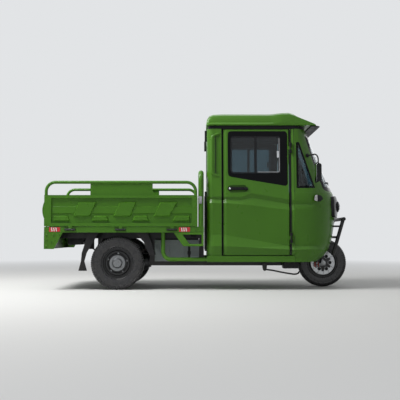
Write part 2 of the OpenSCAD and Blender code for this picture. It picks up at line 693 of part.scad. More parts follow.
// Gap between two knuckles of a hinge
knuckle_gap = 1;
module bed_hinges() {
    step = knuckle_l + knuckle_gap;
    color([0.02, 0.02, 0.02]) {
        both_sides() for (s = gate_hinge_shares)
            translate([lerp(gate_x0, gate_x1, s), -gate_hinge_y, gate_hinge_z]) {
                for (m = [-1, 1]) translate([m * step, 0, 0]) gate_leaf(-knuckle_l / 2, knuckle_l / 2, false);
                rod_x(-step, step, hinge_pin_r);
            }
        for (s = tail_hinge_shares) let (y = lerp(-tail_half_w, tail_half_w, s)) {
            for (m = [-1, 1]) tail_knuckle(y + m * step, false);
            translate([tail_hinge_x, y, gate_hinge_z]) rod_y(-step, step, hinge_pin_r);
        }
    }
}
// Rear bar, corner brackets and lamps
bracket_h = 166;
bracket_t = 6;
bracket_top_l = 188;
bracket_low_l = 100;
bar_w = 40;
bar_t = 4;
plate_hole_r = 4;
plate_hole_span = 200;
rear_bar_half_w = floor_half_w - bracket_t;
module rear_bumper() {
    z0 = bed_under_z - bracket_h;
    color([0.05, 0.15, 0.02]) {
        difference() {
            block(bed_rear_x, bed_rear_x + bar_w, -rear_bar_half_w, rear_bar_half_w, z0, bed_under_z);
            block(bed_rear_x + bar_t, bed_rear_x + bar_w + over, -rear_bar_half_w - over,
                rear_bar_half_w + over, z0 + bar_t, bed_under_z - bar_t);
            translate([0, 0, z0 + bracket_h / 2]) for (s = [-1, 1]) translate([0, s * plate_hole_span / 2, 0])
                rod_x(bed_rear_x - over, bed_rear_x + bar_w, plate_hole_r);
        }
        both_sides() side_plate([[bed_rear_x, z0], [bed_rear_x + bracket_low_l, z0],
            [bed_rear_x + bracket_top_l, bed_under_z], [bed_rear_x, bed_under_z]],
            rear_bar_half_w, rear_bar_half_w + bracket_t);
    }
}
lamp_l = 150;
lamp_h = 70;
lamp_t = 12;
lamp_share = 0.72;
module tail_lamps() {
    z = bed_under_z - bracket_h / 2;
    y = lamp_share * rear_bar_half_w;
    color([0.35, 0.01, 0.01]) both_sides()
        block(bed_rear_x - lamp_t, bed_rear_x, y - lamp_l / 2, y + lamp_l / 2, z - lamp_h / 2,
            z + lamp_h / 2);
}
// Mud flaps: sheet thickness, width, and outlines as shares of the drop below the bed
flap_t = 5;
flap_w = 130;
flap_drop = 385;
rear_flap_x = 290;
rear_flap_shares = [[0.27, 0], [0, 0], [-0.17, -0.53], [-0.19, -0.75], [-0.255, -1], [-0.03, -1],
    [-0.1, -0.75], [-0.04, -0.53]];
front_flap_x = 300;
front_flap_shares = [[-0.31, 0], [0, 0], [0.1, -0.25], [0.2, -0.59], [0.065, -0.59], [-0.08, -0.25]];
function flap(x, shares) = [for (p = shares) [x + p[0] * flap_drop, bed_under_z + p[1] * flap_drop]];
module mud_flap(pts, edge) {
    y0 = wheel_y - flap_w / 2;
    y1 = wheel_y + flap_w / 2;
    side_plate(pts, y1 - flap_t, y1);
    strip = concat([for (i = edge) pts[i]],
        [for (k = [len(edge) - 1 : -1 : 0]) pts[edge[k]] - [edge_sign(edge) * flap_t, 0]]);
    side_plate(strip, y0, y1);
}
function edge_sign(edge) = edge[0] < 2 ? -1 : 1;
module mud_flaps() {
    color([0.02, 0.02, 0.022]) both_sides() {
        mud_flap(flap(rear_axle_x - rear_flap_x, rear_flap_shares), [1, 2, 3, 4]);
        mud_flap(flap(rear_axle_x + front_flap_x, front_flap_shares), [1, 2, 3]);
    }
}
// Side guards: place across, drop of the upright ahead of the cab's back, radius of the bend
guard_y = 470;
guard_l = 444;
guard_bend_r = 80;
guard_lift = 5;
guard_z = cab_z + guard_r + guard_lift;
module side_guards() {
    x0 = cab_x - guard_l;
    color([0.09, 0.22, 0.04]) both_sides() translate([0, guard_y, 0]) {
        translate([x0, 0, guard_z + guard_bend_r])
            cylinder(h = bed_under_z - guard_z - guard_bend_r, r = guard_r);
        translate([x0 + guard_bend_r, 0, guard_z + guard_bend_r])
            rotate([0, 180, 0]) bend(guard_bend_r, guard_r);
        translate([0, 0, guard_z]) rod_x(x0 + guard_bend_r, cab_x, guard_r);
    }
}
// Step hoops under the bed's front corners
step_t = 34;
step_drop = 138;
step_top_l = 306;
step_low_l = 206;
step_bar = 22;
step_slant_bar = 78;
module step_hoops() {
    x1 = bed_front_x - hoop_margin;
    z0 = bed_under_z - step_drop;
    lean = (step_top_l - step_low_l) / step_drop;
    y1 = floor_half_w;
    color([0.09, 0.22, 0.04]) both_sides() difference() {
        side_plate([[x1 - step_low_l, z0], [x1, z0], [x1, bed_under_z], [x1 - step_top_l, bed_under_z]],
            y1 - step_t, y1);
        side_plate([[x1 - step_low_l + step_slant_bar - lean * step_bar, z0 + step_bar],
            [x1 - step_bar, z0 + step_bar], [x1 - step_bar, bed_under_z - step_bar],
            [x1 - step_top_l + step_slant_bar + lean * step_bar, bed_under_z - step_bar]],
            y1 - step_t - over, y1 + over);
    }
}

// Cab
corner_r = 70;
module cab_floor() {
    half = crease_w(0);
    inner = front_w(sill_z) - skin_t - floor_side_gap;
    color([0.05, 0.15, 0.02]) difference() {
        union() {
            block(cab_x, nose_x, -half, half, cab_z, sill_z);
            block(nose_x, bulkhead_x + bulkhead_t, -inner, inner, cab_z, sill_z);
        }
        block(cab_x + skin_t, bulkhead_x - skin_t, -half + sill_w, half - sill_w, cab_z + floor_pan_t,
            sill_z + over);
    }
}
// Width of a sill, thickness of the floor's pan and its gap to the nose
sill_w = 90;
floor_pan_t = 12;
floor_side_gap = 10;
module quarter_panel() {
    cx = cab_x + corner_r;
    as = [for (i = [0 : corner_steps]) 90 * (1 - i / corner_steps)];
    rows = [sill_z, for (k = [2 : 8]) crease_z(k, door_x0), cab_top_z];
    function line(inset) = [
        for (a = as) [for (z = rows) [cx - (corner_r - inset) * sin(a),
            corner_r - rear_w(z) - (corner_r - inset) * cos(a), z]],
        [for (z = rows) [cab_x + quarter_l, inset - rear_w(z), z]]
    ];
    grid_shell(line(0), line(skin_t));
}
// Rib and recess of a quarter panel: shares of its length and of the shell's height, depths and corner
rib_patch_shares = [0.36, 0.655, 0.54, 0.968];
recess_patch_shares = [0.58, 0.655, 0.94, 0.968];
quarter_rib_d = 7;
quarter_recess_d = 8;
quarter_corner = 9;
module quarter_patch(shares, skin_a, skin_b) {
    intersection() {
        side_shell([cab_x, cab_x + quarter_l], skin_a, skin_b, sill_z, cab_top_z);
        side_plate(rounded(rect(cab_x + shares[0] * quarter_l, cab_z + shares[1] * cab_h,
            cab_x + shares[2] * quarter_l, cab_z + shares[3] * cab_h), quarter_corner), -2 * cab_half_w, 0);
    }
}
module quarter_panels() {
    color([0.05, 0.15, 0.02]) both_sides() {
        difference() {
            quarter_panel();
            quarter_patch(recess_patch_shares, -over, quarter_recess_d);
        }
        quarter_patch(rib_patch_shares, -quarter_rib_d, skin_t / 2);
    }
}
// Black strips up the cab's back: thickness, width, place across, and heights as shares of the shell
strip_t = 22;
strip_w = 40;
strip_y = 372;
strip_shares = [[0.08, 0.53], [0.912, 0.995]];
module back_strips() {
    color([0.02, 0.02, 0.022]) both_sides() for (s = strip_shares)
        front_plate(rounded(rect(strip_y, cab_z + s[0] * cab_h, strip_y + strip_w, cab_z + s[1] * cab_h),
            quarter_corner), cab_x - strip_t, cab_x);
}
// Rear window: half width, heights as shares of the shell, corner
rear_window_half_w = 330;
rear_window_shares = [0.64, 0.94];
window_corner = 40;
rear_window = rounded(rect(-rear_window_half_w, cab_z + rear_window_shares[0] * cab_h,
    rear_window_half_w, cab_z + rear_window_shares[1] * cab_h), window_corner);
module back_wall() {
    rows = [sill_z, for (k = [2 : 8]) crease_z(k, door_x0), cab_top_z];
    right = [for (z = rows) [corner_r - rear_w(z), z]];
    color([0.05, 0.15, 0.02]) difference() {
        front_plate(concat([for (i = [len(right) - 1 : -1 : 0]) right[i]], [for (p = right) [-p[0], p[1]]]),
            cab_x, cab_x + skin_t);
        front_plate(rear_window, cab_x - over, cab_x + skin_t + over);
    }
}
// Width of the slope along a post's front that comes up to the nose's face
post_lip_w = 28;
module hinge_post() {
    side_shell([nose_x - post_w, nose_x - post_lip_w, nose_x], [post_inset, post_inset, 0], post_inset + skin_t,
        sill_z, cab_top_z);
}
module hinge_posts() { color([0.05, 0.15, 0.02]) both_sides() hinge_post(); }
// Wheel arch in the nose: half width, top above the axle, corner
arch_half_w = 250;
arch_rise = 385;
arch_corner = 130;
arch_top_z = front_tyre_r + arch_rise;
module cab_nose() {
    arch = rounded(rect(-arch_half_w, -arch_top_z, arch_half_w, arch_top_z), arch_corner);
    color([0.05, 0.15, 0.02]) difference() {
        front_shell(nose_row_shares, 0, skin_t);
        front_plate(arch, nose_x + skin_t, nose_x + 2 * nose_l);
    }
}
// Screen and quarter windows
screen_low_half_w = 415;
screen_top_half_w = 428;
screen_shares = [0.535, 0.965];
screen_outline = rounded([[-screen_low_half_w, cab_z + screen_shares[0] * cab_h],
    [screen_low_half_w, cab_z + screen_shares[0] * cab_h],
    [screen_top_half_w, cab_z + screen_shares[1] * cab_h],
    [-screen_top_half_w, cab_z + screen_shares[1] * cab_h]], window_corner);
// Quarter window: shares of the nose's length and of the shell's height
vent_shares = [[0.046, 0.55], [0.44, 0.553], [0.112, 0.9], [0.046, 0.9]];
vent_corner = 14;
vent_outline = rounded([for (p = vent_shares) [nose_x + p[0] * nose_l, cab_z + p[1] * cab_h]], vent_corner);
// Half the width past which the quarter windows' cuts begin
vent_cut_y = 300;
module screen_frame() {
    color([0.05, 0.15, 0.02]) difference() {
        front_shell(screen_row_shares, 0, skin_t);
        front_plate(screen_outline, nose_x + skin_t, nose_x + 2 * nose_l);
        both_sides() side_plate(vent_outline, vent_cut_y, 2 * cab_half_w);
    }
}
// Depth of a pane's outer face under the skin, and shares of the shell's curve that the panes are cut from
pane_inset = 4;
screen_t_share = 0.8;
vent_t_share = 0.4;
module cab_glass() {
    color([0.1, 0.16, 0.18, 0.4]) {
        intersection() {
            front_shell(screen_row_shares, pane_inset, pane_inset + glass_t, -screen_t_share, screen_t_share);
            front_plate(drawn_in(screen_outline, pane_gap), nose_x + skin_t, nose_x + 2 * nose_l);
        }
        both_sides() intersection() {
            front_shell(screen_row_shares, pane_inset, pane_inset + glass_t, vent_t_share, 1);
            side_plate(drawn_in(vent_outline, pane_gap), vent_cut_y, 2 * cab_half_w);
        }
        front_plate(drawn_in(rear_window, pane_gap), cab_x + pane_inset, cab_x + pane_inset + glass_t);
    }
}
// Ring between the shell and the roof
frame_inset = 14;
frame_ring_w = 40;
frame_ring_h = 36;
roof_z = cab_top_z + frame_ring_h;
function ring_line(inset) = let (w = crease_w(9) - inset, x0 = cab_x + inset, r = corner_r - inset) concat(
    [for (i = [-nose_steps : nose_steps]) let (p = front_point(i / nose_steps, cab_top_z, inset))
        [p[0], p[1]]],
    [for (i = [0 : corner_steps]) let (a = 90 * i / corner_steps)
        [x0 + r - r * sin(a), w - r + r * cos(a)]],
    [for (i = [0 : corner_steps]) let (a = 90 * i / corner_steps)
        [x0 + r - r * cos(a), r - w - r * sin(a)]]);
module roof_frame() {
    color([0.015, 0.015, 0.015]) difference() {
        top_plate(ring_line(frame_inset), cab_top_z, roof_z);
        top_plate(ring_line(frame_inset + frame_ring_w), cab_top_z - over, roof_z + over);
    }
}
// Roof: overhangs ahead of the nose's seam and behind the cab, half width, rim and thickness
roof_out = 231;
roof_back = 6;
roof_l = roof_back + cab_l + roof_out;
roof_half_w = 500;
roof_rim_w = 70;
roof_t = 24;
// Stations along the roof: shares of its length, height and width, and of the way from the rear's section
// to the brow's
roof_station_shares = [[0, 0.2, 0.965, 0], [0.008, 0.58, 0.982, 0], [0.028, 0.83, 0.995, 0],
    [0.065, 0.95, 1, 0], [0.15, 0.98, 1, 0], [0.45, 0.985, 1, 0], [0.565, 0.975, 1, 0], [0.61, 0.97, 1, 0.22],
    [0.65, 0.975, 1, 0.7], [0.7, 0.985, 1, 1], [0.758, 1, 1, 1], [0.8, 0.9, 1, 1], [0.836, 0.74, 1, 1],
    [0.93, 0.38, 0.995, 1], [0.985, 0.17, 0.985, 1], [1, 0.1, 0.965, 1]];
// Half of the roof's section at the rear and at the brow: share of the half width, share of the height there
roof_rear_shares = [[1, 0], [1, 0.1], [0.966, 0.21], [0.956, 0.5], [0.92, 0.74], [0.8, 0.91], [0.45, 0.985],
    [0, 1]];
roof_brow_shares = [[1, 0], [1, 0.1], [0.998, 0.24], [0.99, 0.58], [0.972, 0.8], [0.88, 0.95], [0.55, 0.99],
    [0, 1]];
function roof_arc(t) = [for (i = [0 : len(roof_rear_shares) - 1])
    lerp(roof_rear_shares[i], roof_brow_shares[i], t)];
function roof_ring(s, draw, drop, floor_z) = let (arc = roof_arc(s[3]), n = len(arc),
    x = cab_x - roof_back + s[0] * roof_l, w = roof_half_w * s[2] - draw, h = roof_h * s[1] - drop,
    right = [for (p = arc) [x, -w * p[0], max(floor_z, roof_z + h * p[1])]])
    concat(right, [for (i = [n - 2 : -1 : 0]) [right[i][0], -right[i][1], right[i][2]]]);
// Part of the roof's length that is hollow beneath
hollow_shares = [0.06, 0.81];
module roof() {
    hollow = [for (s = roof_station_shares) if (s[0] > hollow_shares[0] && s[0] < hollow_shares[1]) s];
    color([0.05, 0.15, 0.02]) difference() {
        ring_loft([for (s = roof_station_shares) roof_ring(s, 0, 0, roof_z)]);
        ring_loft([for (s = hollow) let (r = roof_ring(s, roof_rim_w, roof_t, roof_z))
            concat([[r[0][0], r[0][1], roof_z - roof_t]], [for (j = [1 : len(r) - 2]) r[j]],
                [[r[0][0], -r[0][1], roof_z - roof_t]])]);
    }
}
// Visor under the roof's brow
visor_t = 10;
visor_out = 46;
visor_l = 97;
visor_corner = 50;
module visor() {
    x1 = cab_x - roof_back + roof_l + visor_out;
    half = roof_half_w - visor_out / 2;
    color([0.015, 0.03, 0.035]) top_plate([[x1 - visor_l, -half], [x1 - visor_corner, -half],
        [x1, visor_corner - half], [x1, half - visor_corner], [x1 - visor_corner, half],
        [x1 - visor_l, half]], roof_z - visor_t, roof_z);
}
// Bulkhead behind the front wheel
bulkhead_h = 560;
module bulkhead() {
    half = front_w(sill_z) - skin_t - floor_side_gap;
    color([0.05, 0.15, 0.02])
        block(bulkhead_x, bulkhead_x + bulkhead_t, -half, half, sill_z, sill_z + bulkhead_h);
}
// Liner over the front wheel
liner_t = 5;
liner_hole_r = 34;
liner_front_share = 0.7;
liner_toe_share = 0.36;
liner_toe_h = 110;
module arch_liner() {
    x0 = bulkhead_x + bulkhead_t;
    x1 = nose_x + liner_front_share * nose_l;
    xt = nose_x + liner_toe_share * nose_l;
    outer = [[x0, cab_z], [xt, cab_z], [x1, cab_z + liner_toe_h], [x1, arch_top_z + liner_t],
        [x0, arch_top_z + liner_t]];
    inner = [[x0 + liner_t, cab_z - over], [2 * x1, cab_z - over], [2 * x1, arch_top_z],
        [x0 + liner_t, arch_top_z]];
    color([0.02, 0.02, 0.02]) difference() {
        side_plate(outer, -arch_half_w - liner_t, arch_half_w + liner_t);
        side_plate(inner, -arch_half_w, arch_half_w);
        on_steering_axis() cylinder(h = head_z + head_l, r = liner_hole_r);
    }
}
// Black front mask between the arch and the screen
garnish_half_w = 360;
garnish_shares = [0.335, 0.5];
garnish_t = 26;
garnish_corner = 60;
garnish_outline = rounded(rect(-garnish_half_w, cab_z + garnish_shares[0] * cab_h, garnish_half_w,
    cab_z + garnish_shares[1] * cab_h), garnish_corner);
garnish_row_shares = [0.3, 0.3864, 0.4307, 0.4639, 0.52];
module garnish() {
    color([0.015, 0.015, 0.017]) intersection() {
        front_shell(garnish_row_shares, -garnish_t, 0);
        front_plate(garnish_outline, nose_x + skin_t, nose_x + 2 * nose_l);
    }
}
// Headlamps on the mask
headlamp_r = 58;
headlamp_y = 215;
headlamp_out = 10;
headlamp_z_share = 0.42;
module headlamps() {
    color([0.6, 0.62, 0.63]) difference() {
        intersection() {
            front_shell(garnish_row_shares, -garnish_t - headlamp_out, -garnish_t);
            both_sides() translate([0, headlamp_y, cab_z + headlamp_z_share * cab_h])
                rod_x(nose_x + skin_t, nose_x + 2 * nose_l, headlamp_r);
        }
    }
}
// Turn signals on the nose's flanks, their outline as shares of the nose's length and the shell's height
signal_shares = [[0.4, 0.457], [0.52, 0.449], [0.6, 0.47], [0.55, 0.497], [0.42, 0.5]];
signal_out = 34;
signal_row_shares = [0.4307, 0.4639, 0.52];
module turn_signals() {
    pts = [for (p = signal_shares) [nose_x + p[0] * nose_l, cab_z + p[1] * cab_h]];
    color([0.02, 0.02, 0.02]) both_sides() intersection() {
        front_shell(signal_row_shares, -signal_out, 0);
        side_plate(rounded(pts, signal_out / 2), vent_cut_y, 2 * cab_half_w);
    }
}
// Mirrors: arm radius, head size and places
mirror_arm_r = 7;
mirror_foot_share = [0.29, 0.8];
mirror_foot_r = 20;
mirror_foot_t = 8;
mirror_x = 250;
mirror_y = 610;
mirror_z_share = 0.66;
mirror_h = 205;
mirror_w = 120;
mirror_d = 46;
mirror_in = 40;
mirror_bend_r = 60;
// Arm running out along X, bent over and down into the head
module mirror_arm(reach, drop) {
    rod_x(0, reach - mirror_bend_r, mirror_arm_r);
    translate([reach - mirror_bend_r, 0, -mirror_bend_r]) bend(mirror_bend_r, mirror_arm_r);
    translate([reach, 0, -mirror_bend_r - drop]) cylinder(h = drop, r = mirror_arm_r);
}
module mirrors() {
    z = cab_z + mirror_z_share * cab_h;
    x = nose_x + mirror_x;
    foot = [nose_x + mirror_foot_share[0] * nose_l, cab_z + mirror_foot_share[1] * cab_h];
    foot_y = mirror_side_y(foot[0], foot[1]);
    arm = [x - mirror_d / 2 - foot[0], mirror_y - foot_y];
    color([0.015, 0.015, 0.015]) {
        intersection() {
            front_shell(screen_row_shares, -mirror_foot_t, 0);
            both_sides() translate([foot[0], 0, foot[1]]) rod_y(vent_cut_y, 2 * cab_half_w, mirror_foot_r);
        }
        difference() {
            both_sides() translate([foot[0], foot_y, foot[1]]) rotate([0, 0, atan2(arm[1], arm[0])])
                mirror_arm(norm(arm), foot[1] - mirror_bend_r - z - mirror_h / 2 + mirror_in);
            front_shell(screen_row_shares, 0, skin_t);
        }
        both_sides() side_plate(rounded([[x - mirror_d, z - mirror_h / 2],
            [x, z - mirror_h / 2 + mirror_d / 2], [x, z + mirror_h / 2 - mirror_d / 2],
            [x - mirror_d, z + mirror_h / 2]], mirror_d / 4),
            mirror_y - mirror_w / 2, mirror_y + mirror_w / 2);
    }
}
// Half width of the front shell at a place
function mirror_side_y(x, z) = let (q = (x - nose_x) / (front_x(z) - nose_x))
    front_w(z) * pow(1 - pow(q, nose_round_share), 1 / nose_round_share);
// Front bumper: places of its uprights and bars
bumper_y = 262;
bumper_low_z = 340;
bumper_top_z = 720;
bumper_low_share = 0.87;
bumper_top_share = 1.1;
bumper_bar_share = 0.5;
bumper_arm_shares = [0.33, 0.8];
module front_bumper() {
    low = [nose_x + bumper_low_share * nose_l, bumper_y, bumper_low_z];
    top = [nose_x + bumper_top_share * nose_l, bumper_y, bumper_top_z];
    mid = lerp(low, top, bumper_bar_share);
    color([0.015, 0.015, 0.015]) {
        both_sides() rod(low, top, bumper_r);
        difference() {
            both_sides() for (s = bumper_arm_shares) let (p = lerp(low, top, s),
                x = front_edge_x(p[1], p[2]) - skin_t / 2)
                translate([0, p[1], p[2]]) rod_x(x, p[0], bumper_r / 2);
            front_shell(nose_row_shares, 0, skin_t);
        }
        translate([top[0], 0, top[2]]) rod_y(-bumper_y - bumper_r * 2, bumper_y + bumper_r * 2, bumper_r);
        translate([mid[0], 0, mid[2]]) rod_y(-bumper_y, bumper_y, bumper_r * 2 / 3);
    }
}
// Place along X of the nose's face at a half width and height
function front_edge_x(y, z) = nose_x + (front_x(z) - nose_x)
    * pow(1 - pow(y / front_w(z), nose_round_share), 1 / nose_round_share);
// Seat
seat_x = 150;
seat_l = 430;
seat_half_w = 380;
seat_base_h = 300;
cushion_h = 90;
seat_back_h = 460;
seat_back_t = 90;
module seat_base() {
    x = cab_x + seat_x;
    color([0.02, 0.02, 0.02]) block(x, x + seat_l, -seat_half_w, seat_half_w, cab_z + floor_pan_t,
        cab_z + floor_pan_t + seat_base_h);
}
module seat_cushion() {
    x = cab_x + seat_x;
    z = cab_z + floor_pan_t + seat_base_h;
    color([0.03, 0.03, 0.03]) block(x + seat_back_t, x + seat_l, -seat_half_w, seat_half_w, z, z + cushion_h);
}
module seat_back() {
    x = cab_x + seat_x;
    z = cab_z + floor_pan_t + seat_base_h;
    color([0.03, 0.03, 0.03]) block(x, x + seat_back_t, -seat_half_w, seat_half_w, z, z + seat_back_h);
}
// Dashboard shelf on the bulkhead, ahead of the handlebar
dash_h = 40;
dash_share = 0.62;
dash_half_w = 380;
module dashboard() {
    z = sill_z + bulkhead_h;
    x1 = nose_x + dash_share * nose_l;
    color([0.02, 0.02, 0.022]) difference() {
        block(bulkhead_x, x1, -dash_half_w, dash_half_w, z, z + dash_h);
        on_steering_axis() cylinder(h = 2 * bar_z, r = liner_hole_r);
    }
}

// Steering
bar_z = 790;
clamp_h = 30;
grip_l = 120;
grip_r = 16;
module fork() {
    y = leg_span / 2;
    color([0.03, 0.03, 0.032]) on_steering_axis() {
        for (s = [-1, 1]) translate([axle_local_x, s * y, 0]) {
            translate([0, 0, axle_local_z - slider_r]) cylinder(h = yoke_rise / 2 + slider_r, r = slider_r);
            translate([0, 0, axle_local_z]) cylinder(h = yoke_rise + yoke_h / 2, r = slider_r * 3 / 4);
        }
        block(-yoke_half_l, axle_local_x + yoke_half_l, -y - slider_r, y + slider_r, yoke_z, yoke_z + yoke_h);
        translate([0, 0, yoke_z]) cylinder(h = bar_z - yoke_z - bar_r, r = stem_r);
        translate([axle_local_x, 0, axle_local_z]) rod_y(-y - slider_r, y + slider_r, spindle_r);
    }
}
module handlebar() {
    color([0.03, 0.03, 0.03]) on_steering_axis() translate([0, 0, bar_z]) {
        difference() {
            union() {
                rod_y(-bar_half_w, bar_half_w, bar_r);
                translate([0, 0, -clamp_h]) cylinder(h = clamp_h, r = stem_r + head_wall);
                for (s = [-1, 1]) translate([0, s * (bar_half_w - grip_l / 2), 0])
                    rod_y(-grip_l / 2, grip_l / 2, grip_r);
            }
            translate([0, 0, -clamp_h - over]) cylinder(h = clamp_h + over - bar_r, r = stem_r + pin_gap);
        }
    }
}
// Brake caliper behind the right leg
caliper_l = 66;
caliper_h = 76;
caliper_rise = 62;
caliper_lap = 20;
disc_gap = 3;
disc_y = 64;
caliper_in = 9;
module brake_caliper() {
    x1 = axle_local_x - caliper_lap;
    z0 = axle_local_z + caliper_rise;
    y0 = -leg_span / 2 + slider_r / 2;
    y1 = -disc_y + disc_t / 2 + disc_gap + caliper_in;
    color([0.2, 0.2, 0.21]) on_steering_axis() difference() {
        block(x1 - caliper_l, x1, y0, y1, z0, z0 + caliper_h);
        translate([axle_local_x, 0, axle_local_z])
            rod_y(-disc_y - disc_t / 2 - disc_gap, -disc_y + disc_t / 2 + disc_gap, disc_r + disc_gap);
        translate([axle_local_x, -leg_span / 2, axle_local_z])
            cylinder(h = yoke_rise, r = slider_r + pin_gap);
    }
}

// Wheels: shares of half the tyre's width and of its section's height, from bead to tread
tyre_shares = [[0.66, 0], [0.66, 0.135], [0.88, 0.23], [1, 0.48], [0.98, 0.7], [0.88, 0.88], [0.66, 0.965],
    [0.3, 1]];
rim_wall = 5;
rim_flange_h = 13;
rim_flange_t = 6;
module tyre(r, w) {
    half = [for (p = tyre_shares) [rim_r + pin_gap + (r - rim_r - pin_gap) * p[1], w / 2 * p[0]]];
    turned(concat([for (p = half) [p[0], -p[1]]], [for (i = [len(half) - 1 : -1 : 0]) half[i]]));
}
// Rim with its flanges outside the bead, and a disc from the hub's radius, pressed out by dish
module rim(w, hub_r, disc_a, disc_b, dish) {
    h = tyre_shares[0][0] * w / 2 + rim_flange_t;
    f = h - rim_flange_t + pin_gap;
    lip_r = rim_r + rim_flange_h;
    turned([[rim_r - rim_wall, -h], [lip_r, -h], [lip_r, -f], [rim_r, -f], [rim_r, f], [lip_r, f], [lip_r, h],
        [rim_r - rim_wall, h]]);
    a = rim_r - rim_wall - hub_r;
    turned([[hub_r, disc_a], [hub_r + dish_shares[0] * a, disc_a],
        [hub_r + dish_shares[1] * a, disc_a + dish], [hub_r + dish_shares[2] * a, disc_a + dish],
        [hub_r + dish_shares[3] * a, disc_a], [rim_r - rim_wall, disc_a], [rim_r - rim_wall, disc_b],
        [hub_r + dish_shares[3] * a, disc_b],
        [hub_r + dish_shares[2] * a, disc_b + dish], [hub_r + dish_shares[1] * a, disc_b + dish],
        [hub_r + dish_shares[0] * a, disc_b], [hub_r, disc_b]]);
}
dish_shares = [0.22, 0.34, 0.62, 0.74];
rear_hub_r = 79;
rear_cap_r = 54;
rear_cap_l = 20;
rear_disc_t = 7;
rear_dish = 12;
drum_r = 98;
drum_l = 54;
hub_face = 36;
// The right wheel's outer side is at -Y
module rear_rim() { rim(rear_tyre_w, rear_hub_r + pin_gap, 0, rear_disc_t, rear_dish); }
module rear_hub() {
    difference() {
        turned([[0, -drum_l], [drum_r, -drum_l], [drum_r, -pin_gap], [rear_hub_r, -pin_gap],
            [rear_hub_r, hub_face], [rear_cap_r, hub_face],
            [rear_cap_r * dish_shares[3], hub_face + rear_cap_l], [0, hub_face + rear_cap_l]]);
        rod_y(-stub_out - pin_gap, drum_l + over, stub_r + pin_gap);
    }
}
module at_right_wheel() { translate([rear_axle_x, -wheel_y, rear_tyre_r]) children(); }
module rear_rim_right() { color([0.02, 0.02, 0.02]) at_right_wheel() rear_rim(); }
module rear_tyre_right() { color([0.03, 0.03, 0.03]) at_right_wheel() tyre(rear_tyre_r, rear_tyre_w); }
module rear_hub_right() { color([0.3, 0.3, 0.3]) at_right_wheel() rear_hub(); }
module rear_rim_left() { mirror([0, 1, 0]) rear_rim_right(); }
module rear_tyre_left() { mirror([0, 1, 0]) rear_tyre_right(); }
module rear_hub_left() { mirror([0, 1, 0]) rear_hub_right(); }
front_hub_r = 42;
front_hub_half_l = 56;
disc_core_r = 52;
disc_hole_r = 4;
disc_hole_n = 12;
disc_hole_shares = [0.81, 0.92];
disc_window_r = 19;
disc_window_n = 6;
disc_window_share = 0.6;
module at_front_wheel() { translate([front_axle_x, 0, front_tyre_r]) children(); }
module front_rim() {
    color([0.02, 0.02, 0.02]) at_front_wheel() difference() {
        union() {
            rim(front_tyre_w, front_hub_r, -rear_disc_t / 2, rear_disc_t / 2, 0);
            rod_y(-front_hub_half_l, front_hub_half_l, front_hub_r);
        }
        rod_y(-front_hub_half_l - over, front_hub_half_l + over, spindle_r + pin_gap);
    }
}
module front_tyre() { color([0.03, 0.03, 0.03]) at_front_wheel() tyre(front_tyre_r, front_tyre_w); }
module brake_disc() {
    color([0.4, 0.4, 0.4]) at_front_wheel() translate([0, -disc_y, 0]) difference() {
        union() {
            rod_y(-disc_t / 2, disc_t / 2, disc_r);
            rod_y(-disc_t / 2, disc_y - front_hub_half_l, disc_core_r);
        }
        rod_y(-disc_y, disc_y, spindle_r + pin_gap);
        for (s = disc_hole_shares) for (i = [0 : disc_hole_n - 1])
            rotate([0, (i + s) * 360 / disc_hole_n, 0]) translate([s * disc_r, 0, 0])
                rod_y(-disc_y, disc_y, disc_hole_r);
        for (i = [0 : disc_window_n - 1]) rotate([0, i * 360 / disc_window_n, 0])
            translate([disc_window_share * disc_r, 0, 0]) rod_y(-disc_y, disc_y, disc_window_r);
    }
}

// Doors
window_rear_margin = 44;
window_front_margin = 10;
window_top_margin = 17;
window_low_shares = [0.6386, 0.564];
door_window = rounded([
    [door_x0 + window_rear_margin, cab_z + window_low_shares[0] * cab_h],
    [door_x1 - window_front_margin, cab_z + window_low_shares[1] * cab_h],
    [door_x1 - window_front_margin, door_z1 - window_top_margin],
    [door_x0 + window_rear_margin, door_z1 - window_top_margin]], window_corner);
door_xs = [for (s = step_shares) lerp(door_x0, door_x1, s)];
// Door hinges: heights as shares of the shell, the pin's distance ahead of the door and out of its face
door_hinge_shares = [0.18, 0.853];
door_hinge_ahead = 16;
door_hinge_out = 14;
door_hinge_x = door_x1 + door_hinge_ahead;
function hinge_point(s) = let (z = cab_z + s * cab_h) [door_hinge_x, -front_w(z) - door_hinge_out, z];
module at_door_hinge(s) {
    d = unit(hinge_point(door_hinge_shares[1]) - hinge_point(door_hinge_shares[0]));
    translate(hinge_point(s)) rotate([-asin(d[1]), 0, 0]) children();
}
// Leaf of a door hinge: thickness and depth
door_leaf_t = 4;
// Handle: its recess as shares of the door's length and the shell's height, its depth, and the bar across it
handle_shares = [0.085, 0.519, 0.352, 0.573];
handle_d = 14;
handle_corner = 30;
pull_h = 24;
pull_t = 10;
pull_out = 4;
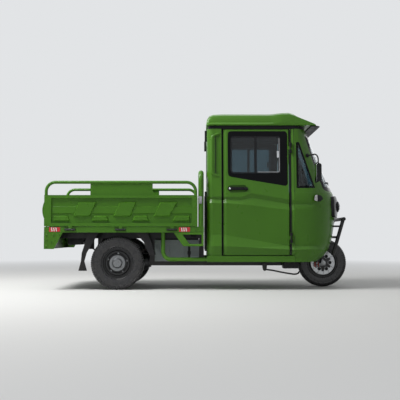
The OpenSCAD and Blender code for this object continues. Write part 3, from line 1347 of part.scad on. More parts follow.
// Width and depth of the rolled edge along the door's rear
door_edge_w = 28;
door_edge_d = 11;
module door_patch(x0, z0, x1, z1, corner, skin_a, skin_b) {
    intersection() {
        side_shell(door_xs, skin_a, skin_b, door_z0, door_z1);
        side_plate(rounded(rect(x0, z0, x1, z1), corner), -2 * cab_half_w, 0);
    }
}
module door() {
    x0 = lerp(door_x0, door_x1, handle_shares[0]);
    x1 = lerp(door_x0, door_x1, handle_shares[2]);
    z0 = cab_z + handle_shares[1] * cab_h;
    z1 = cab_z + handle_shares[3] * cab_h;
    pull_z = (z0 + z1 - pull_h) / 2;
    color([0.05, 0.15, 0.02]) {
        difference() {
            side_shell([door_x0, door_x0 + door_edge_w, for (i = [1 : 3]) door_xs[i]],
                [door_edge_d, 0, 0, 0, 0], door_t, door_z0, door_z1);
            side_plate(door_window, -2 * cab_half_w, 0);
            door_patch(x0, z0, x1, z1, handle_corner, -over, handle_d);
        }
        door_patch(x0 - pull_out, pull_z, x1 + pull_out, pull_z + pull_h, pull_h / 4, -pull_out,
            pull_t - pull_out);
        for (s = door_hinge_shares) at_door_hinge(s) difference() {
            union() {
                translate([0, 0, -knuckle_l / 2]) cylinder(h = knuckle_l, r = hinge_r);
                block(-door_hinge_ahead - door_leaf_t, 0, -hinge_r / 2, hinge_r / 2, -knuckle_l / 2,
                    knuckle_l / 2);
                block(-door_hinge_ahead - door_leaf_t, -door_hinge_ahead, -hinge_r / 2,
                    door_hinge_out + door_leaf_t, -knuckle_l / 2, knuckle_l / 2);
            }
            translate([0, 0, -knuckle_l]) cylinder(h = 2 * knuckle_l, r = hinge_pin_r + pin_gap);
        }
    }
}
// Fixed half of the door hinges, with pins, on the hinge posts
module door_hinges() {
    step = knuckle_l + knuckle_gap;
    color([0.02, 0.02, 0.02]) both_sides() for (s = door_hinge_shares) difference() {
        at_door_hinge(s) {
            for (m = [-1, 1]) translate([0, 0, m * step - knuckle_l / 2]) {
                cylinder(h = knuckle_l, r = hinge_r);
                block(0, door_hinge_ahead, -hinge_r / 2, door_hinge_out + post_inset + skin_t / 2, 0,
                    knuckle_l);
            }
            translate([0, 0, -step]) cylinder(h = 2 * step, r = hinge_pin_r);
        }
        hinge_post();
    }
}
module door_glass() {
    color([0.1, 0.16, 0.18, 0.4]) intersection() {
        side_shell(door_xs, pane_inset, pane_inset + glass_t, door_z0, door_z1);
        side_plate(drawn_in(door_window, pane_gap), -2 * cab_half_w, 0);
    }
}
module door_right() { door(); }
module door_left() { mirror([0, 1, 0]) door(); }
module door_glass_right() { door_glass(); }
module door_glass_left() { mirror([0, 1, 0]) door_glass(); }

frame_rails();
frame_cross_members();
frame_uprights();
steering_head();
rear_axle();
drive_motor();
leaf_springs();
spring_hangers();
battery_box();
bed_floor();
headboard();
headboard_hoop();
rear_bumper();
tail_lamps();
mud_flaps();
side_guards();
step_hoops();
gate_right();
gate_left();
tailgate();
bed_hinges();
cab_floor();
quarter_panels();
back_wall();
back_strips();
hinge_posts();
cab_nose();
screen_frame();
roof_frame();
roof();
visor();
cab_glass();
bulkhead();
arch_liner();
garnish();
headlamps();
turn_signals();
mirrors();
front_bumper();
seat_base();
seat_cushion();
seat_back();
dashboard();
fork();
handlebar();
brake_caliper();
front_rim();
front_tyre();
brake_disc();
rear_rim_right();
rear_tyre_right();
rear_hub_right();
rear_rim_left();
rear_tyre_left();
rear_hub_left();
door_right();
door_glass_right();
door_left();
door_glass_left();
door_hinges();
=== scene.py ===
"""Looks of an electric cargo tricycle: finishes, tyres, windows, seat, lamps and fittings on the loaded frame."""

import json
import math

import bpy
from bpy.props import FloatProperty, FloatVectorProperty, IntProperty, PointerProperty
from mathutils import Matrix, Vector
from mathutils.bvhtree import BVHTree

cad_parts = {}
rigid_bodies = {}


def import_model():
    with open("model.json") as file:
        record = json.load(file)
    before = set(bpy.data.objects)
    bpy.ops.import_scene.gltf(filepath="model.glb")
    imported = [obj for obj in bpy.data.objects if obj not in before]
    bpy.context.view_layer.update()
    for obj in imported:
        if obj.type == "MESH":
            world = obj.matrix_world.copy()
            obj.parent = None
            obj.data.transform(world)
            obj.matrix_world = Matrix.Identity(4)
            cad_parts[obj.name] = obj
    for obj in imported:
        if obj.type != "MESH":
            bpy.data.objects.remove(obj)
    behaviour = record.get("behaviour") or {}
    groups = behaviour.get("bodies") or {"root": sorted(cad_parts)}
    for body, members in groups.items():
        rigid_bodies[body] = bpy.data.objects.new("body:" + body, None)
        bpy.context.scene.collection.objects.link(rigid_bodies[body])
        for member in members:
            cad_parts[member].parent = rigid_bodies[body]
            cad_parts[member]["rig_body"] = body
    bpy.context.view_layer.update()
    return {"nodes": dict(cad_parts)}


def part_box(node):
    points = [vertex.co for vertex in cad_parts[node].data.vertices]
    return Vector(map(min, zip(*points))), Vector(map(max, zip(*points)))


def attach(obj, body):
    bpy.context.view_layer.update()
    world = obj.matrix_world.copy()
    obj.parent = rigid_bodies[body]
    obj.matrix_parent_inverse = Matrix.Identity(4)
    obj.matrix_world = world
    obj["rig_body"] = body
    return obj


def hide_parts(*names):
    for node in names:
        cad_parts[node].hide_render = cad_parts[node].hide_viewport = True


bl_info = {
    "name": "Cargo tricycle",
    "version": (1, 0, 0),
    "blender": (4, 5, 0),
    "location": "3D View > Sidebar > Tricycle",
    "description": "Dresses the frame of an electric cargo tricycle with finishes, tyres, windows, seat and fittings",
    "category": "Object",
}

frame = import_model()
SIDES = (("right", -1), ("left", 1))


def srgb(r, g, b):
    """A display colour from 0 to 255 as the linear values that a material takes."""
    return tuple(c / 3294.6 if c <= 10 else ((c / 255 + 0.055) / 1.055) ** 2.4 for c in (r, g, b))


def colour(label, words, value):
    return FloatVectorProperty(name=label, description=words, subtype="COLOR", min=0, max=1, default=value)


def length(label, words, value):
    return FloatProperty(name=label, description=words, subtype="DISTANCE", unit="LENGTH", min=0, default=value)


def power(label, words, value):
    return FloatProperty(name=label, description=words, unit="POWER", min=0, default=value)


class TricyclePaint(bpy.types.PropertyGroup):
    """Colours of the tricycle"""

    body_green: colour("Body green", "Paint of the cab, bed and guards", srgb(68, 117, 26))
    enamel_black: colour("Enamel black", "Paint of the chassis and bumper", srgb(26, 27, 29))
    plastic_black: colour("Plastic black", "Moulded trim and liners", srgb(24, 25, 27))
    rubber_black: colour("Rubber black", "Tyres, flaps and seals", srgb(40, 40, 42))
    box_grey: colour("Box grey", "Battery box", srgb(126, 134, 134))
    cast_silver: colour("Cast silver", "Hubs, motor and caliper", srgb(126, 128, 130))
    steel: colour("Steel", "Disc, bolts and latches", srgb(176, 178, 180))
    vinyl_black: colour("Vinyl black", "Seat cover", srgb(30, 29, 30))
    marker_red: colour("Marker red", "Side markers and rear lamps", srgb(200, 32, 36))
    marker_white: colour("Marker white", "Stripes of the side markers", srgb(226, 226, 222))
    signal_amber: colour("Signal amber", "Turn signals", srgb(226, 128, 28))
    # Darker than real glass: partly painted shade of the cab's inside
    glass_tint: colour("Glass tint", "Tint of the window panes", srgb(112, 134, 142))
    road_dust: colour("Road dust", "Dust on the lower parts", srgb(112, 104, 90))


class TricycleSizes(bpy.types.PropertyGroup):
    """Sizes of the dressed pieces"""

    tread_pitches: IntProperty(name="Tread pitches", description="Lugs round a tyre", min=12, default=80)
    tread_depth: length("Tread depth", "Height of a lug above the tyre's carcass", 0.009)
    bolt_size: length("Bolt size", "Radius of a bolt's head", 0.007)
    pane_lip: length("Pane lip", "Rise of a window's black border over its pane", 0.0025)
    seat_swell: length("Seat swell", "Furthest that the seat's cover may swell", 0.014)
    seam_depth: length("Seam depth", "Depth of the seat's sewn channels", 0.006)
    edge_radius: length("Edge radius", "Rounding of the pressed panels' edges and creases", 0.0055)


class TricycleStage(bpy.types.PropertyGroup):
    """Camera and light"""

    eye: FloatVectorProperty(name="Eye", description="Place of the camera", subtype="TRANSLATION", unit="LENGTH",
                             default=(0.014, -7.25, 0.532))
    tilt: FloatProperty(name="Tilt", description="Upward tilt of the camera", subtype="ANGLE", default=0.0554)
    lens: FloatProperty(name="Lens", description="Focal length in millimetres", min=10, default=60.0)
    key: power("Key", "Power of the lamp over the bed", 340.0)
    fill: power("Fill", "Power of the lamps overhead and on the far side", 22.0)
    ceiling: power("Ceiling", "Power of the wide lamp under the roof of the room", 2400.0)
    sky: FloatProperty(name="Sky", description="Strength of the surrounding light", min=0, default=0.08)
    floor: colour("Floor", "Colour of the studio floor", srgb(212, 212, 210))
    wall: colour("Wall", "Colour of the studio wall that the floor runs into", srgb(226, 228, 230))


# Modelling: every helper leaves Blender in object mode

def only(*objs):
    """Selects these objects and nothing else, the last one active."""
    if bpy.context.mode != "OBJECT":
        bpy.ops.object.mode_set(mode="OBJECT")
    bpy.ops.object.select_all(action="DESELECT")
    for obj in objs:
        obj.select_set(True)
    bpy.context.view_layer.objects.active = objs[-1] if objs else None


def settle(obj):
    """Puts an object's place, turn and size into its mesh."""
    only(obj)
    bpy.ops.object.transform_apply(location=True, rotation=True, scale=True)
    return obj


def edit(obj, kind="FACE", test=None):
    """Opens a mesh with the faces, edges or points that pass the test selected, or all of them."""
    only(obj)
    bpy.context.tool_settings.mesh_select_mode = (kind == "VERT", kind == "EDGE", kind == "FACE")
    mesh = obj.data
    for group in (mesh.vertices, mesh.edges, mesh.polygons):
        group.foreach_set("select", [False] * len(group))
    if test:
        if kind == "FACE":
            for face in mesh.polygons:
                face.select = test(face.center, face.normal)
        elif kind == "EDGE":
            for edge in mesh.edges:
                edge.select = test(*(mesh.vertices[i].co for i in edge.vertices))
        else:
            for point in mesh.vertices:
                point.select = test(point.co)
    bpy.ops.object.mode_set(mode="EDIT")
    if not test:
        bpy.ops.mesh.select_all(action="SELECT")


def close():
    bpy.ops.object.mode_set(mode="OBJECT")


def seal(gap=0.0):
    """Merges the open mesh's points that are closer than gap, turns its faces outwards and closes it."""
    bpy.ops.mesh.select_all(action="SELECT")
    if gap:
        bpy.ops.mesh.remove_doubles(threshold=gap)
    bpy.ops.mesh.normals_make_consistent(inside=False)
    close()


def dish(obj, test, inset, depth):
    """Insets the faces that pass the test, and raises or sinks them by depth."""
    edit(obj, "FACE", test)
    bpy.ops.mesh.inset(thickness=inset, depth=depth)
    close()


def copy_of(obj):
    only(obj)
    bpy.ops.object.duplicate(linked=False)
    return bpy.context.object


def drop(obj):
    only(obj)
    bpy.ops.object.delete()


def cube(lo, hi, bevel=0.0, segments=2):
    """A block between two corners with its edges bevelled."""
    lo, hi = Vector(lo), Vector(hi)
    only()
    bpy.ops.mesh.primitive_cube_add(size=1, location=(lo + hi) / 2, scale=hi - lo)
    obj = settle(bpy.context.object)
    if bevel:
        edit(obj, "EDGE")
        bpy.ops.mesh.bevel(offset=bevel, segments=segments, affect="EDGES")
        close()
    return obj


def chain(points):
    """An open line of points, each extruded from the one before."""
    only()
    bpy.ops.mesh.primitive_plane_add(size=0.001, location=points[0])
    obj = settle(bpy.context.object)
    edit(obj, "VERT")
    bpy.ops.mesh.merge(type="CENTER")
    for a, b in zip(points, points[1:]):
        bpy.ops.mesh.extrude_vertices_move(TRANSFORM_OT_translate={"value": Vector(b) - Vector(a)})
    close()
    return obj


def prism(points, along, bevel=0.0, segments=2):
    """A flat outline filled and extruded."""
    obj = chain(points)
    edit(obj, "VERT")
    bpy.ops.mesh.edge_face_add()
    bpy.context.tool_settings.mesh_select_mode = (False, False, True)
    bpy.ops.mesh.select_all(action="SELECT")
    bpy.ops.mesh.extrude_region_move(TRANSFORM_OT_translate={"value": Vector(along)})
    bpy.ops.mesh.select_all(action="SELECT")
    bpy.ops.mesh.normals_make_consistent(inside=False)
    if bevel:
        bpy.ops.mesh.bevel(offset=bevel, segments=segments, affect="EDGES")
    close()
    return obj


def slab(outline, y, thick, bevel, segments):
    """An upright outline of (x, z) points, filled at y and extruded by thick across the tricycle."""
    return prism([(x, y, z) for x, z in outline], (0, thick, 0), bevel, segments)


def turned(profile, centre, axis=(0, 1, 0), out=(1, 0, 0), steps=72):
    """A line of (radius, across) points spun about an axle through centre."""
    centre, axis, out = Vector(centre), Vector(axis).normalized(), Vector(out).normalized()
    obj = chain([centre + out * r + axis * a for r, a in profile])
    edit(obj, "VERT")
    bpy.ops.mesh.spin(steps=steps, angle=2 * math.pi, center=centre, axis=axis)
    seal(0.00002)
    return obj


def rounded(points, bend, steps=5):
    """A line of straight runs with its corners rounded off over the length bend."""
    points = [Vector(p) for p in points]
    line = [points[0]]
    for a, b, c in zip(points, points[1:], points[2:]):
        d = min(bend, (a - b).length * 0.49, (c - b).length * 0.49)
        u, v = b + (a - b).normalized() * d, b + (c - b).normalized() * d
        for k in range(steps + 1):
            t = k / steps
            line.append((1 - t) ** 2 * u + 2 * t * (1 - t) * b + t * t * v)
    return line + [points[-1]]


def tube(points, radius, bend=0.0, ring=False, fineness=3):
    """A round tube along a line, made from a bevelled curve."""
    only()
    bpy.ops.curve.primitive_bezier_curve_add(location=(0, 0, 0))
    obj = bpy.context.object
    curve = obj.data
    curve.splines.clear()
    line = rounded(points, bend) if bend else [Vector(p) for p in points]
    spline = curve.splines.new("POLY")
    spline.points.add(len(line) - 1)
    for place, p in zip(spline.points, line):
        place.co = (*p, 1)
    spline.use_cyclic_u = ring
    curve.dimensions = "3D"
    curve.bevel_depth, curve.bevel_resolution, curve.use_fill_caps = radius, fineness, not ring
    bpy.ops.object.convert(target="MESH")
    obj = settle(bpy.context.object)
    edit(obj)
    seal(0.00001)
    return obj


def frame_points(x0, z0, x1, z1, corner, y, steps=5):
    """Points of an upright rectangle with round corners at the place y."""
    points = []
    for cx, cz, turn in ((x1 - corner, z0 + corner, -90), (x1 - corner, z1 - corner, 0),
                         (x0 + corner, z1 - corner, 90), (x0 + corner, z0 + corner, 180)):
        for k in range(steps + 1):
            a = math.radians(turn + 90 * k / steps)
            points.append((cx + corner * math.cos(a), y, cz + corner * math.sin(a)))
    return points


def apply(obj, kind, **values):
    """Adds a modifier with these values and applies it."""
    only(obj)
    modifier = obj.modifiers.new(kind.lower(), kind)
    for key, value in values.items():
        setattr(modifier, key, value)
    bpy.ops.object.modifier_apply(modifier=modifier.name)
    return obj


def carve(obj, tool, how="DIFFERENCE"):
    """Cuts a mesh with another one, which is then gone."""
    apply(obj, "BOOLEAN", object=tool, operation=how, solver="EXACT")
    drop(tool)
    only(obj)
    return obj


def joined(objs):
    """Several meshes made one."""
    only(*objs)
    if len(objs) > 1:
        bpy.ops.object.join()
    return bpy.context.object


def placed(obj, places):
    """A copy of the mesh at each place, made one; the first is gone."""
    made = []
    for place in places:
        copy = copy_of(obj)
        copy.matrix_world = place @ obj.matrix_world
        made.append(settle(copy))
    drop(obj)
    return joined(made)


def mirrored(obj):
    """A copy on the other side of the tricycle, with its faces turned outwards again."""
    copy = copy_of(obj)
    copy.parent = None
    for key in list(copy.keys()):
        if key.startswith("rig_"):
            del copy[key]
    copy.matrix_world = Matrix.Diagonal((1, -1, 1, 1))
    settle(copy)
    edit(copy)
    seal()
    return copy


def skin_of(node, test):
    """The faces of a CAD node that pass the test, as a merged sheet of its own."""
    only()
    bpy.ops.mesh.primitive_plane_add(size=1)
    obj = bpy.context.object
    obj.data = frame["nodes"][node].data.copy()
    obj.data.materials.clear()
    edit(obj, "FACE", lambda c, n: not test(c, n))
    bpy.ops.mesh.delete(type="FACE")
    bpy.ops.mesh.select_all(action="SELECT")
    bpy.ops.mesh.customdata_custom_splitnormals_clear()
    bpy.ops.mesh.remove_doubles(threshold=0.00005)
    bpy.ops.mesh.dissolve_limited(angle_limit=math.radians(1.0))
    close()
    return obj


def inlay(node, test, thickness, tool=None, how="DIFFERENCE"):
    """A thin plate lying on a CAD face, cut to shape by a tool."""
    obj = apply(skin_of(node, test), "SOLIDIFY", thickness=thickness, offset=1.0)
    return carve(obj, tool, how) if tool else obj


def ribbon(points, along, thickness):
    """A line of points drawn out into a strip with a thickness."""
    obj = chain(points)
    edit(obj, "VERT")
    bpy.ops.mesh.extrude_region_move(TRANSFORM_OT_translate={"value": Vector(along)})
    seal()
    return apply(obj, "SOLIDIFY", thickness=thickness, offset=0.0)


def tree_of(mesh):
    return BVHTree.FromPolygons([v.co for v in mesh.vertices], [list(f.vertices) for f in mesh.polygons])


_trees = {}


def on(node, start, way):
    """Where a line from start along way meets a CAD node, and the face's normal there, turned against the way."""
    if node not in _trees:
        _trees[node] = tree_of(frame["nodes"][node].data)
    place, normal, _, _ = _trees[node].ray_cast(Vector(start), Vector(way).normalized())
    if place is None:
        raise RuntimeError(f"nothing of {node} lies on the line from {tuple(start)}")
    return place, normal if normal.dot(Vector(way)) < 0 else -normal


def standing(place, normal, spin=0.0):
    """Matrix that stands a mesh made along Z on a face."""
    turn = Vector(normal).to_track_quat("Z", "Y").to_matrix().to_4x4()
    return Matrix.Translation(place) @ turn @ Matrix.Rotation(spin, 4, "Z")


def hex_bolt(size):
    """A hexagon head with a chamfered top on a round washer, standing on the origin along Z."""
    made = []
    for sides, radius, depth, up, inset, rise in ((6, 1.0, 0.8, 0.65, 0.16, 0.12), (18, 1.55, 0.28, 0.12, 0.12, 0.06)):
        only()
        bpy.ops.mesh.primitive_cylinder_add(vertices=sides, radius=size * radius, depth=size * depth,
                                            location=(0, 0, size * up))
        made.append(settle(bpy.context.object))
        dish(made[-1], lambda c, n: n.z > 0.9, size * inset, size * rise)
    return joined(made)


def bolted(name, body, spots, size, finish="zinc_bolt"):
    """Bolts of one size set on the faces at spots, as one piece."""
    turns = [standing(p, n, 0.7 * k) for k, (p, n) in enumerate(spots)]
    return piece(placed(hex_bolt(size), turns), name, body, finish)


def piece(obj, name, body, finish, slot=None, angle=32, stands_for=()):
    """Names a finished mesh, gives it its finish, and lets it ride on its body."""
    settle(obj)
    obj.name = obj.data.name = name
    obj.data.materials.clear()
    obj.data.materials.append(finish_of(finish))
    bpy.ops.object.shade_smooth_by_angle(angle=math.radians(angle))
    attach(obj, body)
    if stands_for:
        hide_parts(*stands_for)
    return obj


def pair(obj, name, bodies, finish, slot=None, **more):
    """The right-hand piece and its mirrored fellow, on a body of each side."""
    other = mirrored(obj)
    piece(obj, f"{name}_right", bodies[0], finish, slot, **more)
    piece(other, f"{name}_left", bodies[1], finish, slot, **more)


# Bodies that a pair rides on, right and left
CHASSIS = ("chassis", "chassis")
DOORS = ("door_right", "door_left")
GATES = ("gate_right", "gate_left")

# Places of fittings on the right-hand side, and of the handlebar's middle
SLIDER_LATCH = (0.806, -1, 1.372)
HANDLE = (0.397, -1, 1.0204)
DOOR_HINGES = ((0.93, -0.53724, 0.5235), (0.93, -0.50975, 1.4365))
DOOR_HINGE_AXIS = (0, 0.0301, 0.9995)
DOOR_FOOT, DOOR_HEAD = 0.35, 1.626
GATE_HINGES = [(x, -0.557, 0.606) for x in (-1.2907, -0.784, -0.2666)]
MIRROR = (0.9, -0.61, 1.175)
WIPER_PIVOT = (2.0, 0.13, 1.022)
HANDLEBAR = (1.0368, 0.0, 1.0004)


def middle(node):
    lo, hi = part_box(node)
    return (lo + hi) / 2


# Finishes: procedural, on Object coordinates

class Graph:
    """Short words for the nodes of one material."""

    def __init__(self, name):
        self.material = bpy.data.materials.new(name)
        self.material.use_nodes = True
        self.tree = self.material.node_tree
        self.shader = self.tree.nodes["Principled BSDF"]
        self.place = self.node("ShaderNodeTexCoord").outputs["Object"]

    def node(self, kind, inputs=None, **values):
        made = self.tree.nodes.new(kind)
        for key, value in values.items():
            setattr(made, key, value)
        for key, value in (inputs or {}).items():
            if isinstance(value, bpy.types.NodeSocket):
                self.tree.links.new(value, made.inputs[key])
            else:
                made.inputs[key].default_value = value
        return made

    def noise(self, scale, detail=2.0, stretch=(1, 1, 1)):
        place = self.node("ShaderNodeMapping", {"Vector": self.place, "Scale": stretch}).outputs[0]
        return self.node("ShaderNodeTexNoise", {"Vector": place, "Scale": scale, "Detail": detail}).outputs[0]

    def cells(self, scale, feature="F1", stretch=(1, 1, 1)):
        place = self.node("ShaderNodeMapping", {"Vector": self.place, "Scale": stretch}).outputs[0]
        return self.node("ShaderNodeTexVoronoi", {"Vector": place, "Scale": scale}, feature=feature).outputs[0]

    def spread(self, value, low, high, to_low=0.0, to_high=1.0):
        return self.node("ShaderNodeMapRange", {0: value, 1: low, 2: high, 3: to_low, 4: to_high}).outputs[0]

    def times(self, a, b):
        return self.node("ShaderNodeMath", {0: a, 1: b}, operation="MULTIPLY").outputs[0]

    def most(self, a, b):
        return self.node("ShaderNodeMath", {0: a, 1: b}, operation="MAXIMUM").outputs[0]

    def mix(self, share, a, b):
        as_colour = [v if isinstance(v, bpy.types.NodeSocket) else (*v[:3], 1.0) for v in (a, b)]
        return self.node("ShaderNodeMix", {0: share, 6: as_colour[0], 7: as_colour[1]}, data_type="RGBA").outputs[2]

    def height(self, low, high):
        """1 below the height low, 0 above high."""
        z = self.node("ShaderNodeSeparateXYZ", {0: self.place}).outputs[2]
        return self.spread(z, low, high, 1.0, 0.0)

    def raise_by(self, height, distance, strength=1.0):
        bump = self.node("ShaderNodeBump", {"Height": height, "Distance": distance, "Strength": strength})
        self.tree.links.new(bump.outputs[0], self.shader.inputs["Normal"])

    def set(self, **sockets):
        for key, value in sockets.items():
            socket = self.shader.inputs[key.replace("_", " ")]
            if isinstance(value, bpy.types.NodeSocket):
                self.tree.links.new(value, socket)
            elif hasattr(value, "__len__"):
                socket.default_value = (*value[:3], 1.0)
            else:
                socket.default_value = value
        return self.material


def shade(c, k):
    return tuple(min(1.0, v * k) for v in c)


def paint_colours():
    return bpy.context.scene.tricycle_paint


def painted(name, base, rough, coat, dusty=0.35, dust_top=0.75):
    """Sprayed paint: faint cloudiness, orange peel, and road dust that thins out upwards."""
    g = Graph(name)
    cloud = g.spread(g.noise(2.2, 3.0), 0.3, 0.7)
    dust = g.times(g.times(g.height(0.1, dust_top), g.spread(g.noise(7.0, 5.0), 0.3, 0.8)), dusty)
    g.raise_by(g.noise(420.0, 2.0), 0.0002, 0.25)
    body = g.mix(cloud, shade(base, 0.95), shade(base, 1.05))
    return g.set(Base_Color=g.mix(dust, body, paint_colours().road_dust), Coat_Weight=coat, Coat_Roughness=0.08,
                 Specular_IOR_Level=0.25,
                 Roughness=g.most(g.spread(g.noise(14.0, 3.0), 0.3, 0.7, rough - 0.04, rough + 0.05),
                                  g.spread(dust, 0.0, 0.5, 0.0, 0.8)))


def deck_paint():
    """The bed floor's paint, scuffed along its length down to grey primer."""
    g = Graph("deck_paint")
    base = paint_colours().body_green
    scuff = g.times(g.spread(g.noise(26.0, 5.0, (0.12, 1, 1)), 0.56, 0.7), g.spread(g.noise(3.0, 2.0), 0.4, 0.65))
    scuff = g.times(scuff, g.spread(g.height(0.636, 0.6372), 0.0, 1.0, 0.6, 0.0))
    g.raise_by(g.noise(300.0, 2.0), 0.0004, 0.3)
    return g.set(Base_Color=g.mix(scuff, g.mix(g.noise(4.0, 3.0), shade(base, 0.85), base), srgb(120, 122, 112)),
                 Roughness=g.spread(scuff, 0.0, 1.0, 0.42, 0.7), Specular_IOR_Level=0.3)


def moulded(name, base, rough, grain=900.0, depth=0.0003, dusty=0.06, shine=0.2):
    """Moulded plastic with a fine pebble grain and some dust in it."""
    g = Graph(name)
    dust = g.times(g.times(g.height(0.15, 0.9), g.spread(g.noise(7.0, 4.0), 0.4, 0.75)), dusty)
    g.raise_by(g.cells(grain), depth, 0.6)
    return g.set(Base_Color=g.mix(dust, g.mix(g.noise(5.0, 2.0), shade(base, 0.85), shade(base, 1.2)),
                                  paint_colours().road_dust),
                 Roughness=g.spread(g.noise(40.0, 3.0), 0.3, 0.7, rough - 0.06, rough + 0.06), Specular_IOR_Level=shine)


def tyre_rubber():
    """Vulcanised rubber: fine pores, paler where it is rubbed, dust in the low places."""
    g = Graph("tyre_rubber")
    base = paint_colours().rubber_black
    worn = g.spread(g.noise(22.0, 5.0), 0.45, 0.75, 0.0, 0.07)
    g.raise_by(g.noise(900.0, 2.0), 0.0003, 0.5)
    return g.set(Base_Color=g.mix(worn, base, paint_colours().road_dust),
                 Roughness=g.spread(worn, 0.0, 0.07, 0.27, 0.46), Specular_IOR_Level=0.5)


def metal(name, base, rough, scale, spots, stretch=(1, 1, 1), bump=0.0002):
    """Bare or plated metal with a fine grain and a few dull spots."""
    g = Graph(name)
    spot_colour = (0.06, 0.05, 0.04)
    grain = g.noise(scale, 4.0, stretch)
    dull = g.spread(g.noise(30.0, 4.0), 0.58, 0.75, 0.0, spots)
    g.raise_by(grain, bump, 0.5)
    return g.set(Base_Color=g.mix(dull, g.mix(grain, shade(base, 0.86), shade(base, 1.08)), spot_colour), Metallic=1.0,
                 Roughness=g.spread(grain, 0.3, 0.7, rough - 0.07, rough + 0.08))


def spring_leaf():
    """Black leaves with rust showing through in patches."""
    g = Graph("spring_leaf")
    rust = g.spread(g.noise(48.0, 6.0), 0.5, 0.7, 0.0, 0.7)
    g.raise_by(g.noise(260.0, 4.0), 0.0006, 0.5)
    return g.set(Base_Color=g.mix(rust, paint_colours().enamel_black, srgb(92, 62, 44)),
                 Roughness=g.spread(rust, 0.0, 0.7, 0.45, 0.85))


def window_pane():
    """Glass with a dark tint, partly painted shade of the cab's inside seen through it, and a film of dust that only
    shows in its gloss.
    """
    g = Graph("window_pane")
    g.set(Roughness=g.spread(g.noise(5.0, 4.0), 0.4, 0.75, 0.0, 0.05))
    return g.set(Base_Color=paint_colours().glass_tint, Transmission_Weight=1.0, IOR=1.45, Specular_IOR_Level=0.3)


def smoked_sheet():
    """Dark smoked acrylic with fine rub marks."""
    g = Graph("smoked_sheet")
    g.set(Roughness=g.spread(g.noise(30.0, 4.0, (1, 0.2, 1)), 0.35, 0.7, 0.3, 0.42))
    return g.set(Base_Color=g.mix(g.noise(3.0), srgb(10, 15, 18), srgb(16, 22, 25)), IOR=1.08)


def lamp_lens(name, base, clear, ribs=220.0):
    """A moulded lens with fine upright flutes."""
    g = Graph(name)
    flute = g.node("ShaderNodeTexWave", {"Vector": g.place, "Scale": ribs, "Distortion": 0.0}, bands_direction="Y")
    g.raise_by(flute.outputs[1], 0.0006, 0.5)
    return g.set(Base_Color=g.mix(g.noise(8.0), shade(base, 0.94), base), Transmission_Weight=clear, Roughness=0.06,
                 IOR=1.49)


def seat_vinyl():
    """Leatherette: cracked grain, softer sheen where it is sat on."""
    g = Graph("seat_vinyl")
    base = paint_colours().vinyl_black
    g.raise_by(g.cells(420.0, "DISTANCE_TO_EDGE"), 0.0007, 0.7)
    return g.set(Base_Color=g.mix(g.noise(6.0, 3.0), shade(base, 0.8), shade(base, 1.35)),
                 Roughness=g.spread(g.noise(4.0, 3.0), 0.35, 0.65, 0.4, 0.6), Sheen_Weight=0.1)


def marker_tape(name, base):
    """Reflective tape with the small honeycomb of its prisms."""
    g = Graph(name)
    comb = g.cells(260.0, "DISTANCE_TO_EDGE")
    g.raise_by(comb, 0.0002, 0.3)
    return g.set(Base_Color=g.mix(g.spread(comb, 0.0, 0.1), shade(base, 0.86), base), Roughness=0.25, Coat_Weight=0.5)


def dial_glass():
    """The instrument's dark face, with a faint glow of dust."""
    g = Graph("dial_glass")
    g.set(Roughness=g.spread(g.noise(60.0, 3.0), 0.4, 0.8, 0.03, 0.12))
    return g.set(Base_Color=g.mix(g.noise(20.0), srgb(8, 10, 12), srgb(14, 18, 20)), Coat_Weight=1.0)


